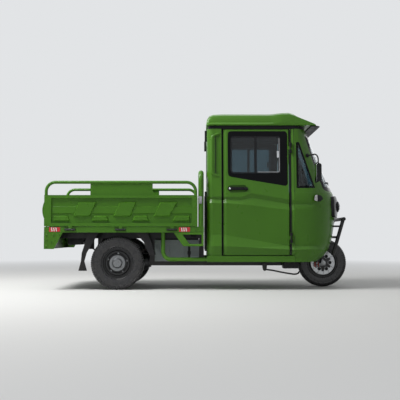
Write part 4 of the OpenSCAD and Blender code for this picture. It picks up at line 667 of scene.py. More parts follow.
# Maker of each finish, its base colour (a colour of the paint group by name, or a value), how far that is lightened
# or darkened, and the maker's values
FINISHES = {
    "cab_paint": (painted, "body_green", 1.0, dict(rough=0.31, coat=0.05, dusty=0.06, dust_top=0.5)),
    "bed_paint": (painted, "body_green", 1.0, dict(rough=0.3, coat=0.04, dusty=0.06, dust_top=0.6)),
    # The guards' paint is the body green lightened: painted light on the guards
    "guard_paint": (painted, "body_green", 1.25, dict(rough=0.22, coat=0.05, dusty=0.05, dust_top=0.6)),
    "chassis_enamel": (painted, "enamel_black", 1.0, dict(rough=0.42, coat=0.15, dusty=0.16, dust_top=0.8)),
    "rim_enamel": (painted, "enamel_black", 1.1, dict(rough=0.32, coat=0.35, dusty=0.06, dust_top=0.5)),
    "axle_iron": (painted, "enamel_black", 1.3, dict(rough=0.55, coat=0.0, dusty=0.3, dust_top=0.6)),
    "caliper_red": (painted, srgb(150, 30, 26), 1.0, dict(rough=0.4, coat=0.3)),
    "trim_plastic": (moulded, "plastic_black", 1.0, dict(rough=0.5)),
    "gloss_plastic": (moulded, "plastic_black", 0.6, dict(rough=0.16, grain=400.0, depth=0.00004, dusty=0.1)),
    "border_band": (moulded, srgb(8, 9, 12), 1.0, dict(rough=0.14, grain=300.0, depth=0.00003, dusty=0.03, shine=0.1)),
    "seal_rubber": (moulded, "rubber_black", 0.6, dict(rough=0.62, grain=700.0)),
    "flap_rubber": (moulded, "rubber_black", 0.8, dict(rough=0.6, grain=500.0, depth=0.0004, dusty=0.16)),
    "grip_rubber": (moulded, "rubber_black", 0.7, dict(rough=0.66, grain=1200.0)),
    "box_shell": (moulded, "box_grey", 1.0, dict(rough=0.42, grain=700.0, depth=0.0002, dusty=0.1)),
    # Lining of the cab: dark boards, partly painted shade inside the cab
    "lining_board": (moulded, srgb(34, 35, 38), 1.0, dict(rough=0.62, grain=500.0, depth=0.0004, dusty=0.02)),
    "mat_rubber": (moulded, srgb(26, 26, 27), 1.0, dict(rough=0.7, grain=600.0, depth=0.0004, dusty=0.2)),
    "cast_hub": (metal, "cast_silver", 1.0, dict(rough=0.44, scale=140.0, bump=0.0004, spots=0.35)),
    "cast_motor": (metal, "cast_silver", 0.55, dict(rough=0.5, scale=180.0, bump=0.0005, spots=0.6)),
    "disc_steel": (metal, "steel", 1.0, dict(rough=0.3, scale=300.0, stretch=(1, 4, 1), spots=0.12)),
    "zinc_bolt": (metal, "steel", 0.8, dict(rough=0.38, scale=200.0, spots=0.3)),
    "bright_trim": (metal, "steel", 1.2, dict(rough=0.18, scale=90.0, spots=0.05)),
    "lamp_bowl": (metal, srgb(225, 228, 230), 1.0, dict(rough=0.1, scale=40.0, spots=0.02)),
    "mirror_face": (metal, srgb(232, 236, 238), 1.0, dict(rough=0.09, scale=10.0, bump=0.00001, spots=0.02)),
    "clear_lens": (lamp_lens, srgb(240, 242, 242), 1.0, dict(clear=0.95, ribs=60.0)),
    "red_lens": (lamp_lens, "marker_red", 1.0, dict(clear=0.35)),
    "amber_lens": (lamp_lens, "signal_amber", 1.0, dict(clear=0.45)),
    "signal_lens": (lamp_lens, srgb(236, 238, 238), 1.0, dict(clear=0.25, ribs=60.0)),
    "marker_red": (marker_tape, "marker_red", 1.0, {}),
    "marker_white": (marker_tape, "marker_white", 1.0, {}),
}
# Finishes that are made one way only, each named like its maker
ONE_WAY = {maker.__name__: maker for maker in (
    deck_paint, tyre_rubber, spring_leaf, window_pane, smoked_sheet, seat_vinyl, dial_glass)}
_made = {}


def finish_of(name):
    """The material of this name, made when it is first asked for."""
    if name not in _made:
        if name in ONE_WAY:
            _made[name] = ONE_WAY[name]()
        else:
            maker, base, tone, values = FINISHES[name]
            base = getattr(paint_colours(), base) if isinstance(base, str) else base
            _made[name] = maker(name, shade(base, tone), **values)
    return _made[name]


NODE_FINISHES = {
    "chassis_enamel": ("frame_rails", "frame_cross_members", "frame_uprights", "steering_head", "spring_hangers",
                       "bed_hinges", "front_bumper", "seat_base", "fork", "handlebar"),
    "axle_iron": ("rear_axle",),
    "cast_motor": ("drive_motor",),
    "spring_leaf": ("leaf_springs",),
    "box_shell": ("battery_box",),
    "deck_paint": ("bed_floor",),
    "bed_paint": ("headboard", "headboard_hoop", "rear_bumper", "gate_right", "gate_left", "tailgate"),
    "guard_paint": ("side_guards", "step_hoops"),
    "cab_paint": ("cab_floor", "quarter_panels", "back_wall", "hinge_posts", "cab_nose", "screen_frame", "roof",
                  "door_right", "door_left"),
    "flap_rubber": ("mud_flaps",),
    "trim_plastic": ("roof_frame", "bulkhead", "arch_liner", "mirrors", "dashboard", "door_hinges", "turn_signals",
                     "back_strips"),
    "gloss_plastic": ("garnish",),
    "smoked_sheet": ("visor",),
    "window_pane": ("cab_glass", "door_glass_right", "door_glass_left"),
    "clear_lens": ("headlamps",),
    "red_lens": ("tail_lamps",),
    "seat_vinyl": ("seat_cushion", "seat_back"),
    "rim_enamel": ("front_rim", "rear_rim_right", "rear_rim_left"),
    "tyre_rubber": ("front_tyre", "rear_tyre_right", "rear_tyre_left"),
    "disc_steel": ("brake_disc",),
    "cast_hub": ("rear_hub_right", "rear_hub_left", "brake_caliper"),
}


def shown(tree):
    """1 for what is seen straight, in a reflection or through glass, and 0 for what lights the object."""
    path = tree.nodes.new("ShaderNodeLightPath")
    share = path.outputs["Is Camera Ray"]
    for kind in ("Is Transmission Ray", "Is Glossy Ray"):
        most = tree.nodes.new("ShaderNodeMath")
        most.operation = "MAXIMUM"
        tree.links.new(share, most.inputs[0])
        tree.links.new(path.outputs[kind], most.inputs[1])
        share = most.outputs[0]
    return share


class TRICYCLE_OT_stage(bpy.types.Operator):
    """Lay the pale studio floor, hang the soft lamps and set up the camera"""

    bl_idname = "tricycle.stage"
    bl_label = "Stage"

    def execute(self, context):
        stage = context.scene.tricycle_stage
        only()
        bpy.ops.mesh.primitive_plane_add(size=50, location=(0, 0, 0))
        floor = settle(bpy.context.object)
        edit(floor)
        bpy.ops.mesh.subdivide(number_cuts=3)
        close()
        floor.name = "studio_floor"
        g = Graph("studio_floor")
        g.set(Base_Color=g.mix(g.noise(0.8, 4.0), shade(stage.floor, 0.98), stage.floor), Roughness=0.8)
        fade_from, fade_to = 3.0, 9.0
        away = g.node("ShaderNodeVectorMath", {0: g.place}, operation="LENGTH").outputs[1]
        away = g.spread(away, fade_from, fade_to)
        wall = g.node("ShaderNodeEmission", {"Color": (*stage.wall, 1.0), "Strength": 1.0})
        cove = g.node("ShaderNodeMixShader",
                      {0: g.times(away, shown(g.tree)), 1: g.shader.outputs[0], 2: wall.outputs[0]})
        g.tree.links.new(cove.outputs[0], g.tree.nodes["Material Output"].inputs[0])
        floor.data.materials.append(g.material)
        for name, place, aim, size, power in (
                ("bed_lamp", (-3.1, -1.5, 4.9), (0.0, 0.0, 0.7), 2.4, stage.key),
                ("overhead_lamp", (0.4, -1.0, 5.8), (0.2, 0.0, 0.8), 3.0, stage.fill),
                ("ceiling_lamp", (0.0, 0.0, 9.0), (0.0, 0.0, 0.0), 60.0, stage.ceiling),
                ("far_lamp", (3.2, 4.6, 3.4), (0.0, 0.0, 0.8), 3.0, stage.fill)):
            way = Vector(aim) - Vector(place)
            bpy.ops.object.light_add(type="AREA", location=place, rotation=way.to_track_quat("-Z", "Y").to_euler())
            lamp = bpy.context.object
            lamp.name, lamp.data.size, lamp.data.energy = name, size, power
            lamp.visible_camera = False
        world = context.scene.world or bpy.data.worlds.new("studio")
        context.scene.world = world
        world.use_nodes = True
        nodes, links = world.node_tree.nodes, world.node_tree.links
        nodes.clear()
        room, seen = nodes.new("ShaderNodeBackground"), nodes.new("ShaderNodeBackground")
        either = nodes.new("ShaderNodeMixShader")
        room.inputs[0].default_value, room.inputs[1].default_value = (0.93, 0.96, 1.0, 1.0), stage.sky
        seen.inputs[0].default_value, seen.inputs[1].default_value = (*stage.wall, 1.0), 1.0
        links.new(shown(world.node_tree), either.inputs[0])
        links.new(room.outputs[0], either.inputs[1])
        links.new(seen.outputs[0], either.inputs[2])
        links.new(either.outputs[0], nodes.new("ShaderNodeOutputWorld").inputs[0])
        bpy.ops.object.camera_add(location=stage.eye, rotation=(math.pi / 2 + stage.tilt, 0, 0))
        camera = bpy.context.object
        camera.data.lens, camera.data.sensor_width = stage.lens, 36.0
        camera.data.clip_end = 200.0
        context.scene.camera = camera
        context.scene.view_settings.view_transform = "Standard"
        return {"FINISHED"}


class TRICYCLE_OT_finishes(bpy.types.Operator):
    """Give every CAD node its paint, plastic, rubber, glass or metal"""

    bl_idname = "tricycle.finishes"
    bl_label = "Finishes"

    def execute(self, context):
        for finish, names in NODE_FINISHES.items():
            for name in names:
                mesh = frame["nodes"][name].data
                mesh.materials.clear()
                mesh.materials.append(finish_of(finish))
        return {"FINISHED"}


class TRICYCLE_OT_panels(bpy.types.Operator):
    """Round the edges and creases of the pressed panels and smooth the moulded ones"""

    bl_idname = "tricycle.panels"
    bl_label = "Panels"

    def execute(self, context):
        radius = context.scene.tricycle_sizes.edge_radius
        pressed = ("door_right", "door_left", "quarter_panels", "hinge_posts", "gate_right", "gate_left", "tailgate",
                   "cab_floor", "rear_bumper", "headboard", "step_hoops", "battery_box", "bed_floor", "back_wall")
        moulded_ones = ("cab_nose", "screen_frame", "roof", "garnish", "mirrors", "turn_signals")
        for finish, names in NODE_FINISHES.items():
            for name in names:
                if name not in pressed + moulded_ones:
                    continue
                crease = math.radians(7 if name in pressed else 34)
                obj = skin_of(name, lambda c, n: True)
                apply(obj, "BEVEL", width=radius, segments=2, limit_method="ANGLE", angle_limit=crease)
                only(obj)
                bpy.ops.object.shade_smooth_by_angle(angle=math.radians(40))
                apply(obj, "WEIGHTED_NORMAL", weight=100, keep_sharp=True)
                body = frame["nodes"][name]["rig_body"]
                piece(obj, f"{name}_panel", body, finish, angle=40, stands_for=(name,))
        return {"FINISHED"}


# Share of the way from bead to tread, and share of the half width, up one side of a tyre
TYRE_SIDE = ((0.0, 0.6), (0.02, 0.78), (0.07, 0.86), (0.085, 0.9), (0.115, 0.91), (0.13, 0.885), (0.3, 0.95),
             (0.46, 0.985), (0.6, 0.985), (0.69, 0.97), (0.705, 0.99), (0.74, 0.985), (0.755, 0.955), (0.86, 0.92),
             (0.93, 0.85), (0.97, 0.73), (1.0, 0.5), (1.0, 0.0))
BEAD_RADIUS = 0.156


class TRICYCLE_OT_tyres(bpy.types.Operator):
    """Turn the three tyres and set their tread lugs"""

    bl_idname = "tricycle.tyres"
    bl_label = "Tyres"

    def lug(self, centre, outline, width, skew, turn):
        """A tread block: outline in (radius, across), as wide as width round the tyre."""
        base = [centre + Vector((r, a, -width / 2 + skew * a)) for r, a in outline]
        block = prism(base, (0, 0, width), 0.0012, 1)
        spin = Matrix.Translation(centre) @ Matrix.Rotation(turn, 4, "Y") @ Matrix.Translation(-centre)
        block.matrix_world = spin
        return settle(block)

    def tyre(self, node):
        """A turned carcass, with a shoulder lug and a rib lug of each side repeated round it."""
        sizes = bpy.context.scene.tricycle_sizes
        lo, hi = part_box(node)
        centre, r, half = (lo + hi) / 2, (hi.z - lo.z) / 2, (hi.y - lo.y) / 2
        base = r - sizes.tread_depth
        side = [(BEAD_RADIUS + s * (base - BEAD_RADIUS), w * half) for s, w in TYRE_SIDE]
        profile = side + [(p, -a) for p, a in reversed(side[:-1])] + [side[0]]
        carcass = turned(profile, centre, steps=96)
        n = sizes.tread_pitches
        pitch = 2 * math.pi / n
        wide = pitch * r
        lugs = []
        for s in (-1, 1):
            shoulder = [(base - 0.003, s * half * 0.42), (r, s * half * 0.46), (r - 0.001, s * half * 0.78),
                        (r - 0.009, s * half * 0.93), (r - 0.026, s * half * 0.995), (r - 0.027, s * half * 0.9),
                        (base - 0.008, s * half * 0.75)]
            lugs.append(self.lug(centre, shoulder, wide * 0.58, s * 0.25, 0.25 * s * pitch))
            rib = [(base - 0.002, s * half * 0.04), (r, s * half * 0.06), (r, s * half * 0.34),
                   (base - 0.002, s * half * 0.36)]
            lugs.append(self.lug(centre, rib, wide * 0.8, s * 0.5, 0.25 * s * pitch + 0.3 * pitch))
        lugs = joined(lugs)
        edit(lugs)
        bpy.ops.mesh.spin(steps=n - 1, dupli=True, angle=2 * math.pi * (n - 1) / n, center=centre, axis=(0, 1, 0))
        close()
        return joined([carcass, lugs])

    def execute(self, context):
        front, right = self.tyre("front_tyre"), self.tyre("rear_tyre_right")
        left = copy_of(right)
        left.location = middle("rear_tyre_left") - middle("rear_tyre_right")
        for obj, node, body in ((front, "front_tyre", "front_wheel"), (left, "rear_tyre_left", "rear_wheel_left"),
                                (right, "rear_tyre_right", "rear_wheel_right")):
            piece(obj, f"{node}_dressed", body, "tyre_rubber", angle=40, stands_for=(node,))
        return {"FINISHED"}


class TRICYCLE_OT_windows(bpy.types.Operator):
    """Fit the black borders, sliding frames and latches of the door windows, and the borders of the cab's panes"""

    bl_idname = "tricycle.windows"
    bl_label = "Windows"

    def border(self, test, width, lip):
        """A band of the given width round the edge of a pane of the cab."""
        sheet = skin_of("cab_glass", test)
        edit(sheet)
        bpy.ops.mesh.inset(thickness=width, use_boundary=True)
        bpy.ops.mesh.delete(type="FACE")
        close()
        return apply(sheet, "SOLIDIFY", thickness=lip, offset=1.0)

    def opening(self, x0, z0, x1, z1, corner):
        """A block with round corners that reaches through the right door's window."""
        return prism(frame_points(x0, z0, x1, z1, corner, -0.58), (0, 0.2, 0))

    def ring(self, outer, inner):
        """The block outer with the block inner cut out of it."""
        return carve(self.opening(*outer), prism(frame_points(*inner, -0.6), (0, 0.25, 0)))

    def execute(self, context):
        lip = context.scene.tricycle_sizes.pane_lip
        pane = "door_glass_right"
        outside = lambda c, n: n.y < -0.7
        inside = lambda c, n: n.y > 0.7
        for name, face in (("door_window_border", outside), ("door_window_backing", inside)):
            pair(inlay(pane, face, lip, self.opening(0.326, 1.176, 0.835, 1.56, 0.03)), name, DOORS, "border_band")
        ring = self.ring((0.327, 1.177, 0.834, 1.559, 0.029), (0.339, 1.189, 0.822, 1.547, 0.018))
        ring = inlay(pane, outside, lip * 1.5, ring, "INTERSECT")
        bar = inlay(pane, outside, lip * 1.4, cube((0.565, -0.58, 1.178), (0.592, -0.38, 1.558)), "INTERSECT")
        pair(joined([ring, bar]), "door_slider_frame", DOORS, "trim_plastic")
        # Bright strip along the slider's edge: a painted highlight line
        edge = self.ring((0.592, 1.189, 0.822, 1.547, 0.018), (0.59, 1.193, 0.818, 1.549, 0.014))
        pair(inlay(pane, outside, lip * 1.3, edge, "INTERSECT"), "door_slider_edge", DOORS, "bright_trim")
        spot, normal = on(pane, SLIDER_LATCH, (0, 1, 0))
        grip = cube((-0.011, -0.034, 0.0), (0.011, 0.034, 0.013), 0.004, 3)
        dish(grip, lambda c, n: n.z > 0.95, 0.003, -0.003)
        grip.matrix_world = standing(spot, normal, math.pi)
        pair(settle(grip), "door_slider_latch", DOORS, "bright_trim")
        panes = (
            ("screen_border", lambda c, n: c.x > 1.05 and n.x > 0.2 and n.z > 0.2 and abs(c.y) < 0.425, 0.045),
            ("rear_border", lambda c, n: c.x < 0.2 and n.x < -0.7, 0.022),
            ("quarter_border_right", lambda c, n: c.x > 0.98 and c.y < -0.455 and n.y < -0.6, 0.02),
            ("quarter_border_left", lambda c, n: c.x > 0.98 and c.y > 0.455 and n.y > 0.6, 0.02))
        for name, test, width in panes:
            piece(self.border(test, width, lip), name, "chassis", "border_band")
        return {"FINISHED"}


# Height and half width of the cab's face up the rear and front edges of a door
REAR_EDGE = ((0.345, 0.5168), (0.441, 0.54), (0.557, 0.5168), (0.783, 0.5222), (0.874, 0.5324), (0.914, 0.5108),
             (0.939, 0.5249), (1.136, 0.5119), (1.63, 0.4879))
FRONT_EDGE = ((0.345, 0.5178), (0.406, 0.54), (0.441, 0.5168), (0.492, 0.5222), (0.804, 0.5324), (0.864, 0.5108),
              (0.909, 0.5249), (1.04, 0.5119), (1.63, 0.4879))


def edge_line(table, x, inset, low, high):
    """Points up a door's edge between two heights, a little under the cab's face."""
    def half(z):
        for (a, p), (b, q) in zip(table, table[1:]):
            if z <= b:
                return p + (q - p) * (z - a) / (b - a)
        return table[-1][1]
    heights = [low] + [z for z, _ in table if low + 0.004 < z < high - 0.004] + [high]
    return [(x, inset - half(z), z) for z in heights]


class TRICYCLE_OT_cab_lining(bpy.types.Operator):
    """Line the cab with dark door cards, pillar and back boards and a headliner, partly painted shade inside the cab,
    lay a floor mat, and seal the doors
    """

    bl_idname = "tricycle.cab_lining"
    bl_label = "Cab lining"

    def execute(self, context):
        heart = Vector((0.6, 0.0, 1.1))
        inward = lambda c, n: n.dot((heart - c).normalized()) > 0.4
        # The dark cards, boards and headliner partly stand in for the shade inside the closed cab: painted shade
        card = cube((0.272, -0.52, 0.36), (0.9, -0.42, 1.6))
        pair(inlay("door_right", lambda c, n: n.y > 0.7 and c.y > -0.509, 0.004, card, "INTERSECT"), "door_card", DOORS,
             "lining_board")
        pair(inlay("quarter_panels", lambda c, n: c.y < 0 and inward(c, n), 0.003), "quarter_board", CHASSIS,
             "lining_board")
        pair(inlay("hinge_posts", lambda c, n: c.y < 0 and n.y > 0.7, 0.003), "post_board", CHASSIS, "lining_board")
        piece(inlay("back_wall", lambda c, n: n.x > 0.7, 0.004), "back_board", "chassis", "lining_board")
        piece(inlay("screen_frame", inward, 0.003), "screen_board", "chassis", "lining_board")
        roof = [(0.13, -0.44), (0.99, -0.44), (1.06, -0.36), (1.088, -0.2), (1.088, 0.2), (1.06, 0.36), (0.99, 0.44),
                (0.13, 0.44)]
        headliner = prism([(x, y, 1.6295) for x, y in roof], (0, 0, 0.0062), 0.002, 2)
        piece(headliner, "headliner", "chassis", "lining_board")
        mat = [cube((0.67, -0.425, 0.2922), (0.965, 0.425, 0.2962), 0.0015, 1)]
        mat += [cube((0.69, y - 0.006, 0.2955), (0.945, y + 0.006, 0.2995), 0.0015, 1)
                for y in [-0.4 + 0.0267 * k for k in range(31)]]
        piece(joined(mat), "floor_mat", "chassis", "mat_rubber")
        half = lambda z: 0.5119 - (z - 1.136) * 0.0486
        path = [(x, sunk - half(z), z) for x, z, sunk in (
            (0.224, 1.14, 0.024), (0.2, 1.148, 0.012), (0.147, 1.166, 0.007), (0.139, 1.19, 0.007),
            (0.139, 1.535, 0.007), (0.149, 1.566, 0.007), (0.2, 1.582, 0.012), (0.224, 1.588, 0.024))]
        pair(tube(path, 0.019, 0.02, fineness=4), "quarter_rib", CHASSIS, "cab_paint")
        top = prism([(0.215, y, z) for y, z in ((-0.4522, 1.608), (-0.4472, 1.608), (-0.4472, 1.6362),
                                                (-0.4522, 1.6362))], (0.735, 0, 0), 0.001, 1)
        pair(top, "door_seal_top", CHASSIS, "seal_rubber")
        web_and_lip = [ribbon(edge_line(REAR_EDGE, 0.2225, inset, DOOR_FOOT, DOOR_HEAD), (width, 0, 0), thick)
                       for inset, width, thick in ((0.0405, 0.042, 0.0034), (0.0325, 0.0085, 0.0155))]
        pair(joined(web_and_lip), "door_seal_rear", CHASSIS, "seal_rubber")
        runs = [ribbon(edge_line(FRONT_EDGE, 0.9226, 0.0105, a, b), (0.018, 0, 0), 0.003)
                for a, b in ((DOOR_FOOT, 0.464), (0.583, 1.377), (1.496, DOOR_HEAD))]
        pair(joined(runs), "door_seal_front", CHASSIS, "seal_rubber")
        return {"FINISHED"}


# Radius and place along the pin of the thin sleeve round a hinge's knuckle
SLEEVE = ((0.0079, -0.0168), (0.0088, -0.0165), (0.0088, 0.0165), (0.0079, 0.0168), (0.0079, -0.0168))


class TRICYCLE_OT_door_fittings(bpy.types.Operator):
    """Set the pull handles, locks and hinge sleeves on the doors"""

    bl_idname = "tricycle.door_fittings"
    bl_label = "Door fittings"

    def execute(self, context):
        spot, _ = on("door_right", HANDLE, (0, 1, 0))
        pull = cube((-0.1, -0.0165, -0.0125), (0.096, 0.0165, 0.0085), 0.006, 3)
        edit(pull, "VERT", lambda p: p.x > 0.05)
        bpy.ops.transform.resize(value=(1, 0.86, 1), center_override=(0.05, -0.004, 0))
        close()
        dish(pull, lambda c, n: n.z > 0.9, 0.004, -0.0015)
        ends = [turned([(0.0, top), (r * 0.5, top), (r * 0.8, top - 0.002), (r, top - 0.007), (r, -0.006),
                        (0.0, -0.006)], (x, y, 0), (0, 0, 1), (1, 0, 0), 28)
                for x, y, r, top in ((-0.082, 0.0, 0.021, 0.011), (0.088, -0.002, 0.017, 0.0105))]
        barrel = turned([(0.0, 0.0135), (0.002, 0.0135), (0.0025, 0.0145), (0.0085, 0.0145), (0.0105, 0.0125),
                         (0.0105, 0.004), (0.0, 0.004)], (-0.082, 0.0, 0), (0, 0, 1), (1, 0, 0), 28)
        turn = Matrix.Translation(spot) @ Matrix(((1, 0, 0, 0), (0, 0, -1, 0), (0, 1, 0, 0), (0, 0, 0, 1)))
        handle = joined([pull, *ends])
        for part in (handle, barrel):
            part.matrix_world = turn
            settle(part)
        pair(handle, "door_handle", DOORS, "gloss_plastic")
        sleeves = [turned(SLEEVE, place, DOOR_HINGE_AXIS, (1, 0, 0), 28) for place in DOOR_HINGES]
        pair(joined(sleeves), "door_hinge_sleeves", DOORS, "trim_plastic")
        pair(barrel, "door_lock", DOORS, "bright_trim")
        return {"FINISHED"}


VOXEL = 0.006
SWELL_PRESSURE = 4.0
SWELL_FRAMES = 20
CHANNEL_WIDTH = 0.007
PIPING_RADIUS = 0.0042
# How far a pad stays inside its node, and how far its face may stand out of it
PAD_INSIDE, PAD_PROUD = 0.0005, 0.012


class TRICYCLE_OT_seat(bpy.types.Operator):
    """Sew the seat's cushion and back"""

    bl_idname = "tricycle.seat"
    bl_label = "Seat"

    def pad(self, node, shrink, channels, across, up):
        """A padded block swollen by cloth, with sewn channels across its face: up is the way that the face looks."""
        sizes = bpy.context.scene.tricycle_sizes
        lo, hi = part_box(node)
        inset = Vector((shrink, shrink, shrink))
        obj = cube(lo + inset, hi - inset, 0.026, 4)
        obj.data.remesh_voxel_size = VOXEL
        only(obj)
        bpy.ops.object.voxel_remesh()
        start = [p.co.copy() for p in obj.data.vertices]
        cloth = obj.modifiers.new("swell", "CLOTH").settings
        cloth.use_pressure, cloth.uniform_pressure_force = True, SWELL_PRESSURE
        cloth.effector_weights.gravity = 0.0
        cloth.quality = 4
        for step in range(1, SWELL_FRAMES + 1):
            bpy.context.scene.frame_set(step)
        only(obj)
        bpy.ops.object.modifier_apply(modifier="swell")
        bpy.context.scene.frame_set(1)
        for point, was in zip(obj.data.vertices, start):
            moved = point.co - was
            if moved.length > sizes.seat_swell:
                point.co = was + moved * (sizes.seat_swell / moved.length)
        up = Vector(up)
        low = [v + PAD_INSIDE for v in lo]
        high = [v + (PAD_PROUD if u > 0.5 else -PAD_INSIDE) for v, u in zip(hi, up)]
        for point in obj.data.vertices:
            facing = max(0.0, point.normal.dot(up))
            depth = max(math.exp(-((point.co[across] - c) / CHANNEL_WIDTH) ** 2) for c in channels)
            point.co -= up * facing * depth * sizes.seam_depth * 2
            point.co = [min(max(v, a), b) for v, a, b in zip(point.co, low, high)]
        return apply(obj, "SUBSURF", levels=1, render_levels=1)

    def piping(self, pad, loop):
        """A round welt along a loop of points brought onto the pad's face."""
        face = tree_of(pad.data)
        line = [Vector(a).lerp(Vector(b), k / 6) for a, b in zip(loop, loop[1:] + loop[:1]) for k in range(6)]
        return tube([face.find_nearest(p)[0] for p in line], PIPING_RADIUS, ring=True)

    def execute(self, context):
        cushion = self.pad("seat_cushion", 0.009, (-0.19, 0.0, 0.19), 1, (0, 0, 1))
        piece(cushion, "seat_cushion_pad", "chassis", "seat_vinyl", angle=60, stands_for=("seat_cushion",))
        back = self.pad("seat_back", 0.009, (0.74, 0.86, 0.98), 2, (1, 0, 0))
        piece(back, "seat_back_pad", "chassis", "seat_vinyl", angle=60, stands_for=("seat_back",))
        lo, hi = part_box("seat_cushion")
        loop = [(x, y, z) for x, z, y in frame_points(lo.x, lo.y, hi.x, hi.y, 0.03, hi.z - 0.022)]
        piece(self.piping(cushion, loop), "seat_cushion_piping", "chassis", "seal_rubber", "seat_vinyl")
        lo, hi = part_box("seat_back")
        loop = [(x, y, z) for y, x, z in frame_points(lo.y, lo.z, hi.y, hi.z, 0.03, hi.x - 0.022)]
        piece(self.piping(back, loop), "seat_back_piping", "chassis", "seal_rubber", "seat_vinyl")
        return {"FINISHED"}


class TRICYCLE_OT_bed_trim(bpy.types.Operator):
    """Fix the side markers, hinge sleeves, tailgate catches and headboard latches of the cargo bed"""

    bl_idname = "tricycle.bed_trim"
    bl_label = "Bed trim"

    def execute(self, context):
        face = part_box("bed_floor")[0].y
        reds, whites = [], []
        for x0 in (-1.503, -0.197):
            x1, z0, z1 = x0 + 0.111, 0.584, 0.63
            reds.append(cube((x0, face - 0.0016, z0), (x1, face + 0.0002, z1), 0.0007, 1))
            for k in range(3):
                x = x0 + 0.026 + k * 0.022
                foot = ((x, z0 + 0.004), (x + 0.01, z0 + 0.004), (x + 0.004, z1 - 0.004), (x - 0.006, z1 - 0.004))
                whites.append(slab(foot, face - 0.0017, -0.0008, 0.0002, 1))
        pair(joined(reds), "side_marker", CHASSIS, "marker_red")
        pair(joined(whites), "side_marker_stripes", CHASSIS, "marker_white")
        sleeves = [turned(SLEEVE, place, (1, 0, 0), (0, 0, 1), 32) for place in GATE_HINGES]
        pair(joined(sleeves), "gate_hinge_sleeves", GATES, "chassis_enamel")
        tail = []
        for y in (-0.496, 0.496):
            tail += [cube((-1.558, y - 0.011, 0.8), (-1.5535, y + 0.011, 0.9), 0.0015, 2),
                     cube((-1.564, y - 0.006, 0.81), (-1.557, y + 0.006, 0.862), 0.002, 2)]
        piece(joined(tail), "tailgate_catches", "tailgate", "chassis_enamel")
        plate = cube((0.004, -0.552, 0.868), (0.034, -0.544, 0.94), 0.002, 2)
        hook = tube([(0.018, -0.556, 0.878), (0.018, -0.562, 0.885), (0.018, -0.562, 0.925), (0.004, -0.562, 0.934),
                     (-0.006, -0.562, 0.928)], 0.0045, 0.01)
        lever = cube((0.010, -0.566, 0.876), (0.026, -0.553, 0.912), 0.003, 2)
        pair(joined([plate, hook, lever]), "headboard_latch", CHASSIS, "zinc_bolt")
        return {"FINISHED"}


class TRICYCLE_OT_lamps(bpy.types.Operator):
    """Build the headlamps, turn signals and rear lamps, and the slats of the black panel between the headlamps"""

    bl_idname = "tricycle.lamps"
    bl_label = "Lamps"

    def execute(self, context):
        lo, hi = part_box("headlamps")
        r, depth = (hi.z - lo.z) / 2, hi.x - lo.x
        centre = Vector((lo.x, lo.y + r, (lo.z + hi.z) / 2))
        lens = [(r * share, depth - back) for share, back in (
            (0.0, 0.0), (0.35, 0.002), (0.65, 0.007), (0.86, 0.015), (0.93, 0.021), (0.93, 0.024), (0.84, 0.019),
            (0.6, 0.0105), (0.3, 0.0055), (0.0, 0.0035))]
        rim = [(r * share, out) for share, out in (
            (0.94, 0.002), (0.995, 0.002), (0.995, 0.02), (0.96, 0.0225), (0.935, 0.0215), (0.94, 0.002))]
        bowl = [(r * share, out) for share, out in (
            (0.0, 0.003), (0.3, 0.004), (0.6, 0.008), (0.92, 0.015), (0.92, 0.0135), (0.6, 0.0055), (0.3, 0.0015),
            (0.0, 0.0005))]
        bulb = [(0.0, 0.022), (0.008, 0.02), (0.011, 0.014), (0.011, 0.004), (0.0, 0.004)]
        make = lambda line: turned(line, centre, (1, 0, 0), (0, 0, 1), 48)
        pair(make(lens), "headlamp_lens", CHASSIS, "clear_lens", stands_for=("headlamps",))
        pair(joined([make(bowl), make(bulb)]), "headlamp_bowl", CHASSIS, "lamp_bowl")
        pair(make(rim), "headlamp_rim", CHASSIS, "trim_plastic")
        slats = joined([cube((1.3, -0.125, z), (1.6, 0.125, z + 0.009))
                        for z in (0.79, 0.812, 0.834, 0.856, 0.878, 0.9)])
        slats = inlay("garnish", lambda c, n: n.x > 0.5, 0.0035, slats, "INTERSECT")
        piece(slats, "garnish_slats", "chassis", "trim_plastic")
        face = lambda c, n: c.y < 0 and n.y < -0.35 and n.x > -0.2
        pair(inlay("turn_signals", face, 0.004, cube((1.15, -0.6, 0.88), (1.201, -0.4, 0.97)), "INTERSECT"),
             "signal_lens", CHASSIS, "signal_lens")
        lo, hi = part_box("tail_lamps")
        x0, x1 = lo.x, hi.x
        y0, y1, z0, z1 = lo.y, lo.y + 0.15, lo.z, hi.z
        tray = cube((x1 - 0.005, y0, z0), (x1, y1, z1), 0.002, 2)
        cells = []
        for a, b, finish in ((0.004, 0.062, "red_lens"), (0.065, 0.105, "amber_lens"), (0.108, 0.146, "clear_lens")):
            part = cube((x0, y0 + a, z0 + 0.004), (x1 - 0.0045, y0 + b, z1 - 0.004), 0.003, 3)
            dish(part, lambda c, n: n.x < -0.9, 0.003, -0.0012)
            cells.append((part, finish))
        pair(tray, "tail_lamp_tray", CHASSIS, "trim_plastic", stands_for=("tail_lamps",))
        for part, finish in cells:
            pair(part, f"tail_lamp_{finish}", CHASSIS, finish, "lamp_red")
        return {"FINISHED"}


class TRICYCLE_OT_mirrors(bpy.types.Operator):
    """Set the mirrors' glass in its frames"""

    bl_idname = "tricycle.mirrors"
    bl_label = "Mirrors"

    def execute(self, context):
        spot, _ = on("mirrors", MIRROR, (1, 0, 0))
        glass = prism([(spot.x - 0.0005, p[0], p[2]) for p in frame_points(-0.66, 1.084, -0.56, 1.266, 0.024, 0)],
                      (-0.0022, 0, 0), 0.0008, 1)
        pair(glass, "mirror_glass", CHASSIS, "mirror_face")
        return {"FINISHED"}


